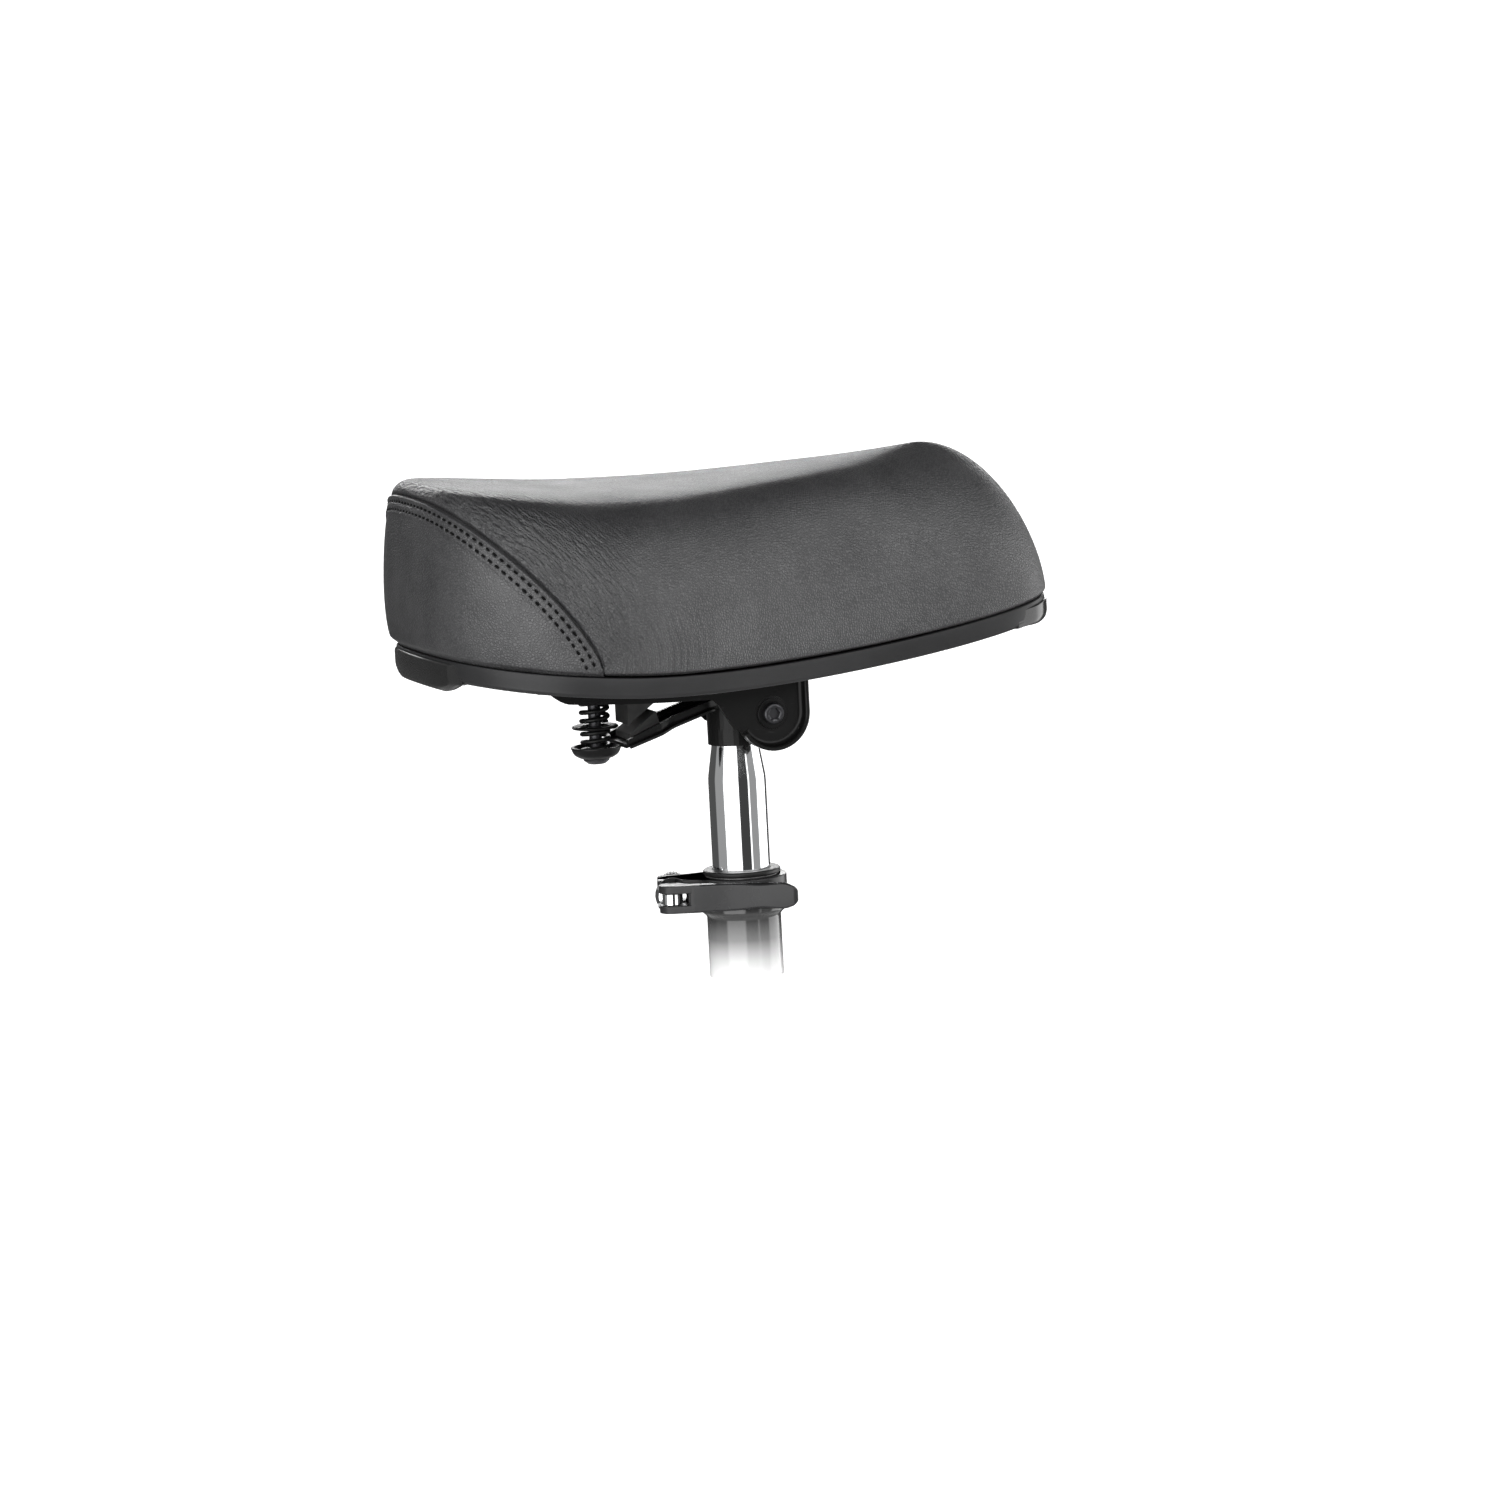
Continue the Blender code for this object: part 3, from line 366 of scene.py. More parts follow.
def moulded_finish(name, colour, roughness, grain, depth, gloss):
    """Moulded plastic: a fine sparked texture and faint flow marks."""
    s = Shader(name, colour, roughness=roughness)
    flow = s.noise(22.0, 3.0)
    spark = s.noise(grain, 3.0)
    low = tuple(0.82 * c for c in colour)
    high = tuple(1.22 * c for c in colour)
    s.link(s.ramp(flow, [(0.3, low), (0.7, high)]), "Base Color")
    s.link(s.spread(s.maths("ADD", flow, spark), 0.6, 1.4, roughness - 0.07, roughness + 0.07), "Roughness")
    s.link(s.bump(spark, depth), "Normal")
    s.set("Specular IOR Level", gloss)
    return s.material


def enamel_finish(name, colour, roughness, metallic=0.0, gloss=0.5):
    """Painted or plated steel: slight orange peel, dust in places and thin scuffs."""
    s = Shader(name, colour, metallic, roughness)
    peel = s.noise(420.0, 2.0)
    cloud = s.noise(30.0, 4.0)
    stretched = s.node("ShaderNodeMapping", {"Vector": s.place, "Scale": (90.0, 900.0, 900.0),
                                             "Rotation": (0.3, 0.5, 0.2)}).outputs[0]
    scuff = s.ramp(s.noise(1.0, 2.0, place=stretched), [(0.70, 0.0), (0.76, 1.0)])
    mixed = s.node("ShaderNodeMix", {"Factor": s.maths("MULTIPLY", scuff, 0.35),
                                     "A": (*colour, 1), "B": (0.05, 0.05, 0.052, 1)}, data_type="RGBA")
    s.link(mixed.outputs["Result"], "Base Color")
    s.link(s.maths("ADD", s.spread(cloud, 0.3, 0.7, roughness - 0.06, roughness + 0.1),
                   s.maths("MULTIPLY", scuff, 0.1)), "Roughness")
    s.link(s.bump(peel, 0.00004), "Normal")
    s.set("Specular IOR Level", gloss)
    return s.material


def chrome_finish():
    """Bright chrome: near mirror, with fine draw lines along the tube and faint handling haze."""
    colour, roughness = (0.83, 0.84, 0.85), 0.045
    s = Shader("chrome", colour, 1.0, roughness)
    haze = s.noise(45.0, 4.0)
    lines = s.node("ShaderNodeMapping", {"Vector": s.place, "Scale": (2400.0, 2400.0, 40.0)}).outputs[0]
    drawn = s.noise(1.0, 2.0, place=lines)
    s.link(s.spread(s.maths("ADD", haze, s.maths("MULTIPLY", drawn, 0.3)), 0.45, 0.95,
                    roughness * 0.6, roughness * 2.0), "Roughness")
    s.link(s.ramp(haze, [(0.3, tuple(0.95 * c for c in colour)), (0.7, colour)]), "Base Color")
    s.link(s.bump(drawn, 0.000004), "Normal")
    return s.material


def rubber_finish():
    """Matt black rubber with a powdery bloom."""
    s = Shader("stop_rubber", (0.014, 0.014, 0.014), roughness=0.8)
    bloom = s.noise(120.0, 5.0)
    s.link(s.ramp(bloom, [(0.35, (0.010, 0.010, 0.010)), (0.75, (0.032, 0.032, 0.031))]), "Base Color")
    s.link(s.spread(bloom, 0.3, 0.7, 0.7, 0.9), "Roughness")
    s.link(s.bump(s.noise(1800.0, 2.0), 0.00006), "Normal")
    return s.material


def thread_finish():
    """Black sewing thread: its twist runs along each stitch."""
    s = Shader("thread", (0.003, 0.003, 0.003), roughness=0.7)
    s.set("Specular IOR Level", 0.08)
    twist = s.node("ShaderNodeAttribute", attribute_name="twist").outputs["Vector"]
    parts = s.node("ShaderNodeSeparateXYZ", {0: twist}).outputs
    strand = s.maths("SINE", s.maths("ADD", s.maths("MULTIPLY", parts[0], 9000.0), parts[1]))
    s.link(s.bump(strand, 0.00004), "Normal")
    s.link(s.ramp(s.maths("MULTIPLY_ADD", strand, 0.5, 0.5),
                  [(0.0, (0.001, 0.001, 0.001)), (1.0, (0.004, 0.004, 0.004))]), "Base Color")
    return s.material


def tube_finish():
    """Dark gloss enamel on the frame's tube, with a painted fade of light: its colour pales towards the cut
    end.
    """
    s = Shader("tube_paint", (0.2, 0.2, 0.2), roughness=0.22)
    height = s.node("ShaderNodeSeparateXYZ", {0: s.place}).outputs[2]
    # painted light: over the lowest 30 mm the colour fades from the enamel's near-black to pale grey at the
    # cut end, a painted wash of light and not the enamel's own colour
    share = s.spread(height, 0.0, 0.030, 0.0, 1.0)
    peel = s.noise(500.0, 2.0)
    cloud = s.noise(35.0, 4.0)
    s.link(s.ramp(s.maths("MULTIPLY_ADD", cloud, 0.06, s.maths("SUBTRACT", share, 0.03)),
                  [(0.0, (0.62, 0.62, 0.62)), (0.30, (0.40, 0.40, 0.40)), (0.62, (0.12, 0.12, 0.12)),
                   (0.92, (0.035, 0.035, 0.035))]),
           "Base Color")
    s.link(s.spread(cloud, 0.3, 0.7, 0.09, 0.15), "Roughness")
    s.link(s.bump(peel, 0.00001), "Normal")
    return s.material


LEATHER = leather_finish()
BAND_PLASTIC = moulded_finish("pan_plastic", (0.013, 0.013, 0.0135), 0.42, 1500.0, 0.00004, gloss=0.22)
GUARD_PLASTIC = moulded_finish("bumper_plastic", (0.012, 0.012, 0.012), 0.16, 700.0, 0.00001, gloss=0.35)
SHIM_PLASTIC = moulded_finish("shim_plastic", (0.010, 0.010, 0.010), 0.38, 1200.0, 0.00003, gloss=0.2)
BLACK_STEEL = enamel_finish("black_steel", (0.004, 0.004, 0.004), 0.30, gloss=0.16)
CLAMP_BLACK = enamel_finish("clamp_black", (0.014, 0.014, 0.0145), 0.30, gloss=0.25)
ZINC = enamel_finish("dark_zinc", (0.045, 0.045, 0.048), 0.32, metallic=0.85)
RUBBER = rubber_finish()
CHROME = chrome_finish()
THREAD = thread_finish()
TUBE_PAINT_WITH_PAINTED_FADE = tube_finish()


def settle(obj, body, slot, *nodes):
    """Ride on a body and stand for CAD nodes, which are hidden; slot is not used."""
    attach(obj, body)
    if nodes:
        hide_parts(*nodes)
    return obj


# ---------------------------------------------------------------- saddle surface


def half_width(x):
    """Half the saddle's width at x: a square-shouldered rear and a tapering, round nose."""
    behind = np.clip((WIDEST_X - x) / (WIDEST_X - REAR_X), 0, 1)
    ahead = np.clip((x - WIDEST_X) / (NOSE_X - WIDEST_X), 0, 1)
    eased = np.sqrt(ahead ** 2 + 0.05 ** 2) - 0.05
    rear = (1 - behind ** 2.6) ** (1 / 2.6)
    front = (1 - NOSE_TAPER * eased ** 1.2 * (3 - 2 * eased)) * (1 - ahead ** 7) ** 0.5
    return HALF_WIDTH * np.where(x < WIDEST_X, rear, front)


def rim_height(x):
    """Lower edge of the rim: a parabola that sweeps up to both ends."""
    return RIM_LOW_Z + RIM_RISE * ((x - RIM_LOW_X) / RIM_REACH) ** 2


def crown_height(x):
    """Top of the saddle along its middle: a dip between the raised rear and the nose."""
    behind = np.clip((CROWN_LOW_X - x) / (120 * MM), 0, 1.25)
    ahead = np.clip((x - CROWN_LOW_X) / (100 * MM), 0, 2)
    levelling = (1 + (ahead / 1.45) ** 6) ** (1 / 3)
    return CROWN_LOW_Z + CREST_DIP * behind ** 2 + NOSE_DIP * ahead ** 2 / levelling


def base_line(turn):
    """Base outline at each angle, its middle-line partner and the direction between them."""
    middle = (NOSE_X + REAR_X) / 2
    x = middle + (NOSE_X - REAR_X) / 2 * np.cos(turn)
    side = np.sin(turn)
    y = half_width(x) * np.where(np.abs(side) < 1e-9, 0, np.sign(side))
    spine = middle + SPINE_SHARE * (x - middle)
    length = np.hypot(x - spine, y)
    return x, y, spine, length, (x - spine) / length, y / length


def even_turns(count, start=0.0, stop=2 * np.pi, ends=False):
    """Angles that part a stretch of the base outline into equal lengths."""
    dense = np.linspace(start, stop, 12001)
    x, y = base_line(dense)[:2]
    run = np.concatenate([[0], np.cumsum(np.hypot(np.diff(x), np.diff(y)))])
    return np.interp(np.linspace(0, run[-1], count, endpoint=ends), run, dense)


def cover_point(turn, angle, inset=0.0):
    """The cover at column angles turn (c,) and rise angles (r, c), as (r, c, 3).

    Between a base point and its middle-line partner, the reach out is sin(angle)^(2/p) and the height is
    cos(angle)^(2/q), plus a bulge between them. p and q make the rear square, the sides rounder and the
    nose a little flatter than an ellipse.
    """
    base_x, base_y, spine, length, way_x, way_y = base_line(turn)
    rear = smooth(0.35, 1.0, -way_x)
    nose = smooth(0.1, 1.0, way_x)
    across_power = 5.0 + 17.0 * rear - 3.1 * nose
    height_power = 3.3 + 1.2 * rear - 1.7 * nose
    bulge = SIDE_BULGE + (REAR_BULGE - SIDE_BULGE) * rear + (NOSE_BULGE - SIDE_BULGE) * nose
    height = np.abs(np.cos(angle)) ** (2 / height_power)
    out = bulge * np.sin(np.pi * np.clip(height, 0, 1) ** 0.55)
    radius = np.maximum(np.sin(angle) ** (2 / across_power) * (length - inset) + out, 0)
    low = rim_height(base_x) + BAND_HEIGHT
    x = spine + way_x * radius
    return np.stack([x, way_y * radius, low + (crown_height(x) - inset - low) * height], -1)


def seam_x(z):
    """The seam's side view: how far back it lies at each height."""
    share = np.clip((z - SEAM_FOOT[1]) / (SEAM_TOP[1] - SEAM_FOOT[1]), 0, 1.3)
    return SEAM_FOOT[0] + (SEAM_TOP[0] - SEAM_FOOT[0]) * share ** SEAM_POWER


RISE_SAMPLES = 600


def column_runs(turn):
    """For each column: rise angles from rim to crown, travel along the surface, and travel to the seam."""
    angle = np.linspace(np.pi / 2, 0, RISE_SAMPLES)[:, None] + 0 * turn[None]
    points = cover_point(turn, angle)
    run = np.vstack([np.zeros((1, len(turn))),
                     np.cumsum(np.linalg.norm(np.diff(points, axis=0), axis=-1), axis=0)])
    ahead = points[..., 0] - seam_x(points[..., 2])
    first = np.argmax(ahead > 0, axis=0)
    c = np.arange(len(turn))
    before = np.maximum(first - 1, 0)
    gain = ahead[first, c] - ahead[before, c]
    share = np.where(first > 0, -ahead[before, c] / np.where(gain == 0, 1, gain), 0)
    to_seam = run[before, c] + share * (run[first, c] - run[before, c])
    return angle[:, 0], run, to_seam


def cover_rows(turn, angles, run, travel, inset=0.0):
    """The cover at given travels (r, c) along each column."""
    at = np.stack([np.interp(travel[:, k], run[:, k], angles) for k in range(len(turn))], 1)
    return cover_point(turn, at, inset)


def grid_normals(grid, wrap):
    """Outward unit normals of a (rim to crown, round) grid, from central differences."""
    up = np.gradient(grid, axis=0)
    if wrap:
        round_ = np.roll(grid, -1, 1) - np.roll(grid, 1, 1)
    else:
        round_ = np.gradient(grid, axis=1)
    normal = np.cross(round_, up)
    size = np.linalg.norm(normal, axis=-1, keepdims=True)
    normal = np.where(size > 1e-14, normal / np.maximum(size, 1e-14), (0, 0, 1))
    return normal


SEAM_TURN = math.acos((SEAM_FOOT[0] - (NOSE_X + REAR_X) / 2) / ((NOSE_X - REAR_X) / 2))


def seam_curve():
    """Points close together along the seam, and the length run along it."""
    turn = even_turns(900, SEAM_TURN, 2 * np.pi - SEAM_TURN, ends=True)
    angles, run, to_seam = column_runs(turn)
    points = cover_rows(turn, angles, run, to_seam[None])[0]
    along = np.concatenate([[0], np.cumsum(np.linalg.norm(np.diff(points, axis=0), axis=1))])
    return points, along


SEAM_POINTS, SEAM_RUN = seam_curve()


def from_seam(points):
    """Distance to the seam, and the nearest place's run along it, for an (r, c, 3) grid."""
    flat = points.reshape(-1, 3)
    distance, along = np.empty(len(flat)), np.empty(len(flat))
    for part in np.array_split(np.arange(len(flat)), max(1, len(flat) // 4000)):
        gap = ((flat[part, None] - SEAM_POINTS[None]) ** 2).sum(-1)
        nearest = gap.argmin(1)
        distance[part] = np.sqrt(gap[np.arange(len(part)), nearest])
        along[part] = SEAM_RUN[nearest]
    return distance.reshape(points.shape[:2]), along.reshape(points.shape[:2])


def edge_first(count, share=0.3):
    """Numbers from 0 to 1 that start close together: share * t + (1 - share) * t^2."""
    t = np.linspace(0, 1, count)
    return share * t + (1 - share) * t * t


SKIN_INSET = 2.2 * MM


def main_cover():
    """Main panel: from the rim, or from the seam at the rear, up to the crown line; lined 2 mm inside."""
    turn = even_turns(760)
    angles, run, to_seam = column_runs(turn)
    total = run[-1]
    travel = to_seam + (total - to_seam) * edge_first(104)[:, None]
    base = cover_rows(turn, angles, run, travel)
    normal = grid_normals(base, wrap=True)
    distance, along = from_seam(base)
    d = distance / MM
    rise = -1.7 * hill(d, 0, 0.75) + 0.25 * hill(d, 3.2, 2.2)
    from_rim = travel / MM
    rise += -1.5 * hill(from_rim, 0, 1.3)
    pull = np.exp(-(d / 34) ** 2) * smooth(0.5, 3.0, d)
    outer = base + normal * (rise * MM)[..., None]
    lining_travel = to_seam + (total - to_seam) * edge_first(12)[:, None]
    lining = cover_rows(turn, angles, run, lining_travel, SKIN_INSET)
    tuck = 1.2 * MM * hill(lining_travel - to_seam, 0, 6 * MM)
    lining -= grid_normals(lining, wrap=True) * tuck[..., None]
    grid = np.concatenate([lining[::-1], outer])
    fields = np.zeros(grid.shape)
    fields[len(lining):] = np.stack([along, distance, pull], -1)
    cover = build("cover_main", [patch(grid, wrap_cols=True)], LEATHER, sharp=60, merge=4e-6,
                  fields={"seam_map": fields.reshape(-1, 3)})
    return cover


REAR_STITCHES = (3.5, 7.2)           # mm from the seam
STITCH_PITCH = 4.4 * MM


def rear_rise(d, along):
    """Height over the plain surface at d mm behind the seam: fold, welt, dimpled rows, hidden allowance."""
    dimple = 0.15 + 0.95 * np.clip(0.5 + 0.5 * np.cos(2 * np.pi * along / STITCH_PITCH), 0, 1)
    rows = sum(hill(d, row, 0.62) for row in REAR_STITCHES)
    return (-1.7 * hill(d, 0, 0.6) + 0.60 * hill(d, 1.45, 0.75) + 0.55 * (1 - smooth(8.2, 10.5, d))
            - dimple * rows)


def rear_cover():
    """Rear panel: from the rim up to the seam; lined inside. Returns it and its two stitch lines."""
    turn = even_turns(700, SEAM_TURN, 2 * np.pi - SEAM_TURN, ends=True)
    angles, run, to_seam = column_runs(turn)
    travel = to_seam * (1 - edge_first(84, 0.35))[:, None]
    base = cover_rows(turn, angles, run, travel)
    normal = -grid_normals(base, wrap=False)
    distance, along = from_seam(base)
    rise = rear_rise(distance / MM, along) - 1.5 * hill(travel / MM, 0, 1.3)
    outer = base + normal * (rise * MM)[..., None]
    lines = [stitch_line(outer, normal, along, distance, wanted * MM) for wanted in REAR_STITCHES]
    lining_travel = to_seam * (1 - edge_first(9))[:, None]
    lining = cover_rows(turn, angles, run, lining_travel, SKIN_INSET)
    grid = np.concatenate([outer, lining[::-1]])
    fields = np.zeros(grid.shape)
    fields[:len(outer)] = np.stack([along, distance, 0.35 * np.exp(-distance / (9 * MM))], -1)
    cover = build("cover_rear", [patch(grid, wrap_rows=True)], LEATHER, sharp=60, merge=4e-6,
                  fields={"seam_map": fields.reshape(-1, 3)})
    return cover, lines


def stitch_line(surface, normal, along, distance, wanted):
    """Where the surface lies at a wanted distance from the seam: a point, normal and run for each column."""
    reached = distance.max(0) > wanted + 0.3 * MM
    row = np.argmax(distance >= wanted, axis=0)
    c = np.arange(surface.shape[1])
    before = np.maximum(row - 1, 0)
    gap = distance[row, c] - distance[before, c]
    share = np.clip((wanted - distance[before, c]) / np.where(gap == 0, 1, gap), 0, 1)[:, None]
    points = surface[before, c] + share * (surface[row, c] - surface[before, c])
    return points[reached], normal[row, c][reached], along[row, c][reached]


def stitches(name, line, length, radius):
    """A row of short threads on a line: each is a bent spindle whose ends dip into the leather."""
    points, normals, run = line
    ordered = np.argsort(run, kind="stable")
    points, normals, run = points[ordered], normals[ordered], run[ordered]
    first, last = math.ceil((run[0] + 3 * MM) / STITCH_PITCH), math.floor((run[-1] - 3 * MM) / STITCH_PITCH)
    centre = np.arange(first, last + 1) * STITCH_PITCH
    t = np.linspace(-1, 1, 7)
    at = centre[:, None] + t[None] * length / 2
    spot = np.stack([np.interp(at, run, points[:, k]) for k in range(3)], -1)
    out = np.stack([np.interp(at, run, normals[:, k]) for k in range(3)], -1)
    out /= np.linalg.norm(out, axis=-1, keepdims=True)
    way = np.gradient(spot, axis=1)
    way /= np.linalg.norm(way, axis=-1, keepdims=True)
    side = np.cross(way, out)
    spot = spot + out * (radius * (0.75 - 1.9 * t ** 4))[None, :, None]
    thick = radius * np.sqrt(np.clip(1.02 - t ** 6, 0, 1))
    a = np.arange(8) * 2 * np.pi / 8
    ring = np.cos(a)[:, None] * side[:, :, None] + np.sin(a)[:, None] * out[:, :, None]
    grids = spot[:, :, None] + thick[None, :, None, None] * ring
    reached, round_ = np.broadcast_arrays(at[..., None], a)
    twist = np.stack([reached, round_, np.zeros(reached.shape)], -1)
    patches = [patch(grid, wrap_cols=True, capped=True) for grid in grids]
    return build(name, patches, THREAD, sharp=70, merge=1e-7,
                 fields={"twist": twist.reshape(-1, 3)})


def rim_line(turn, inset, lift):
    """A line along the rim, inside the base outline by inset and above the rim's edge by lift."""
    x, y, _, _, way_x, way_y = base_line(turn)
    return np.stack([x - way_x * inset, y - way_y * inset, rim_height(x) + lift], -1)


def edge_band():
    """Trim round the rim: a flat face with a small foot bead, eased edges."""
    outline = rounded(np.array([(1.5, 0.7), (2.2, 0.0), (4.0, 0.0), (4.0, 9.6), (0.9, 9.6), (0.8, 6.0),
                                (0.95, 2.4), (0.9, 1.6)]) * MM, 0.5 * MM, 3)
    turn = even_turns(560)
    grid = np.stack([rim_line(turn, inset, lift) for inset, lift in outline], 1)
    return build("band", [patch(grid, wrap_rows=True, wrap_cols=True)], BAND_PLASTIC, sharp=50)


def bumper(name, middle, reach, outline):
    """A guard that hooks under the rim; towards its ends it grows shallow and sinks into the band."""
    shape = rounded(np.array(outline) * MM, 1.2 * MM, 4)
    turn = middle + np.linspace(-reach, reach, 81)
    keep = (1 - smooth(0.55, 1.0, np.abs(turn - middle) / reach))[:, None]
    inset, lift = shape[None, :, 0], shape[None, :, 1]
    sunk = np.maximum(inset, 1.1 * MM + 0 * keep)
    inset = sunk + (inset - sunk) * np.clip(keep * 1.6, 0.12, 1)
    lift = np.where(lift < 0, lift * (0.12 + 0.88 * keep), lift)
    x, y, _, _, way_x, way_y = (part[:, None] for part in base_line(turn))
    grid = np.stack([x - way_x * inset, y - way_y * inset, rim_height(x) + lift], -1)
    return build(name, [patch(grid, wrap_cols=True, capped=True)], GUARD_PLASTIC, sharp=50)


# ---------------------------------------------------------------- saddle pieces

cover_main = settle(main_cover(), "saddle", "leatherette", "cover_main_panel", "foam_core")
rear, stitch_lines = rear_cover()
cover_rear = settle(rear, "saddle", "leatherette", "cover_rear_panel")
for number, line in enumerate(stitch_lines, 1):
    settle(stitches(f"stitch_row_{number}", line, 2.7 * MM, 0.58 * MM), "saddle", "leatherette")
settle(edge_band(), "saddle", "pan_plastic", "edge_band")
GUARD_OUTLINE = [(0.3, 8.4), (-0.3, 7.4), (-0.3, 1.0), (0.6, -3.2), (2.4, -5.6), (8.0, -5.6), (8.0, -0.4),
                 (2.0, -0.4), (1.2, 0.6), (0.6, 2.8), (0.6, 8.4)]
settle(bumper("guard_rear", np.pi, 0.3, GUARD_OUTLINE), "saddle", "bumper_plastic", "rear_bumper")
NOSE_OUTLINE = [(0.3, 7.6), (-0.3, 7.4), (-0.3, 1.0), (0.6, -1.44), (2.4, -2.52), (8.0, -2.52), (8.0, -0.4),
                (2.0, -0.4), (1.2, 0.6), (0.6, 2.8), (0.6, 7.6)]
settle(bumper("guard_nose", 0.0, 0.55, NOSE_OUTLINE), "saddle", "bumper_plastic", "front_bumper")


# ---------------------------------------------------------------- pressed steelwork


def web_height(x):
    """Underside of the arm's web."""
    return WEB_Z + WEB_SLOPE * (x - WEB_X)


def channel(x, base, tip, half, bend, steps=5):
    """A bent channel section at each x: legs from height base to height tip, joined at base by a web.

    The section is the closed outline of a sheet 2 mm thick with half-width half at each x; its outer bends
    have radius bend. Where tip is under base, the legs hang down.
    """
    way = np.sign(tip - base)[:, None]
    a = np.linspace(0, np.pi / 2, steps + 1)
    inner = max(bend - SHEET, 0.3 * MM)
    outer_in, outer_z = bend - bend * np.cos(a), bend - bend * np.sin(a)
    inner_in, inner_z = SHEET + inner - inner * np.cos(a), SHEET + inner - inner * np.sin(a)
    inward = np.concatenate([[0], outer_in, outer_in[::-1], [0], [SHEET], inner_in, inner_in[::-1], [SHEET]])
    side = np.repeat([1, -1, -1, 1], steps + 2)
    z = np.concatenate([[0], outer_z, outer_z[::-1], [0], [0], inner_z, inner_z[::-1], [0]])
    at_tip = np.zeros(len(z), bool)
    at_tip[[0, 2 * steps + 3, 2 * steps + 4, -1]] = True
    level = np.where(at_tip[None], tip[:, None], base[:, None] + way * z[None])
    across = side[None] * (np.broadcast_to(half, x.shape)[:, None] - inward[None])
    return np.stack([np.broadcast_to(x[:, None], level.shape), across, level], -1)


def arm_half(x):
    """Half the arm's width: full at the dish and the hinge, waisted between them."""
    return ARM_HALF_WIDTH - ARM_WAIST * smooth(-43 * MM, -33 * MM, x) * (1 - smooth(-17 * MM, -7 * MM, x))


def lip_strip(path, outward, side, face, reach, hold=4.5 * MM, bend=2.2 * MM):
    """The turned-out lip of a pressed ear: a bent strip carried along the ear's edge.

    path and outward are (n, 2) points and unit normals in the XZ plane. The strip starts flush with the
    ear's outer face, hold inside the edge, bends through a quarter circle and runs sideways by reach.
    """
    a = np.linspace(0, np.pi / 2, 7)
    top_n = np.concatenate([[-hold], -bend - SHEET + bend * np.sin(a), [-SHEET]])
    top_y = np.concatenate([[0.03 * MM], 0.03 * MM + bend - bend * np.cos(a), [reach - 0.5 * MM]])
    end_n = np.array([-SHEET + 0.5 * MM, -0.5 * MM])
    end_y = np.array([reach, reach])
    big = SHEET + 0.6 * MM
    b = np.linspace(0, np.pi / 2, 7)
    back_n = np.concatenate([[0.0], -big + big * np.cos(b), [-hold]])
    back_y = np.concatenate([[reach - 0.5 * MM], big - SHEET - big * np.sin(b), [-SHEET + 0.1 * MM]])
    n = np.concatenate([top_n, end_n, back_n])
    y = face + np.concatenate([top_y, end_y, back_y])
    xz = path[:, None] + n[None, :, None] * outward[:, None]
    return patch(np.stack([xz[..., 0], np.broadcast_to(side * y, xz.shape[:2]), xz[..., 1]], -1),
                 wrap_cols=True, capped=True)


def upper_bracket():
    """Pressed channel under the pan: its legs lengthen into two round ears with turned-out lips."""
    top = PAN_FLOOR_LIFT - GAP
    hx, hz = HINGE[0], HINGE[2]
    rear = np.linspace(BRACKET_REAR_X, HINGE[0] + EAR_RADIUS * math.cos(205 * DEG), 60)
    nose_in = smooth(0, 18 * MM, rear - BRACKET_REAR_X)
    drop = 1.3 * MM + (BRACKET_DROP - 1.3 * MM) * nose_in
    rear_low = rim_height(rear) - drop
    ear_top_z = hz + EAR_RADIUS * math.sin(205 * DEG)
    blend_in = smooth(rear[-1] - 14 * MM, rear[-1], rear)
    rear_low = rear_low * (1 - blend_in) + ear_top_z * blend_in
    a = np.linspace(205, 360, 50) * DEG
    ear_x, ear_low = hx + EAR_RADIUS * np.cos(a), hz + EAR_RADIUS * np.sin(a)
    x = np.concatenate([rear, ear_x[1:]])
    low = np.concatenate([rear_low, ear_low[1:]])
    patches = [patch(channel(x, rim_height(x) + top, low, BRACKET_HALF_WIDTH, 3.2 * MM),
                     wrap_cols=True, capped=True)]
    ear = arc((hx, hz), EAR_RADIUS, 210, 360, 48)
    out = (ear - (hx, hz)) / EAR_RADIUS
    front = np.column_stack([np.full(14, hx + EAR_RADIUS),
                             np.linspace(hz + 0.8 * MM, float(rim_height(hx)) + top - 3 * MM, 14)])
    path = np.vstack([ear, front])
    outward = np.vstack([out, np.tile([1.0, 0.0], (14, 1))])
    for side in (-1, 1):
        patches.append(lip_strip(path, outward, side, BRACKET_HALF_WIDTH, EAR_LIP))
        boss = rounded(np.array([(3.2, 21.5), (7.9, 21.5), (7.9, 22.35), (3.2, 22.35)]) * MM, 0.25 * MM, 2)
        patches.append(lathe(boss * (1, side), HINGE, "Y", 64))
    return build("bracket", patches, BLACK_STEEL, sharp=42)


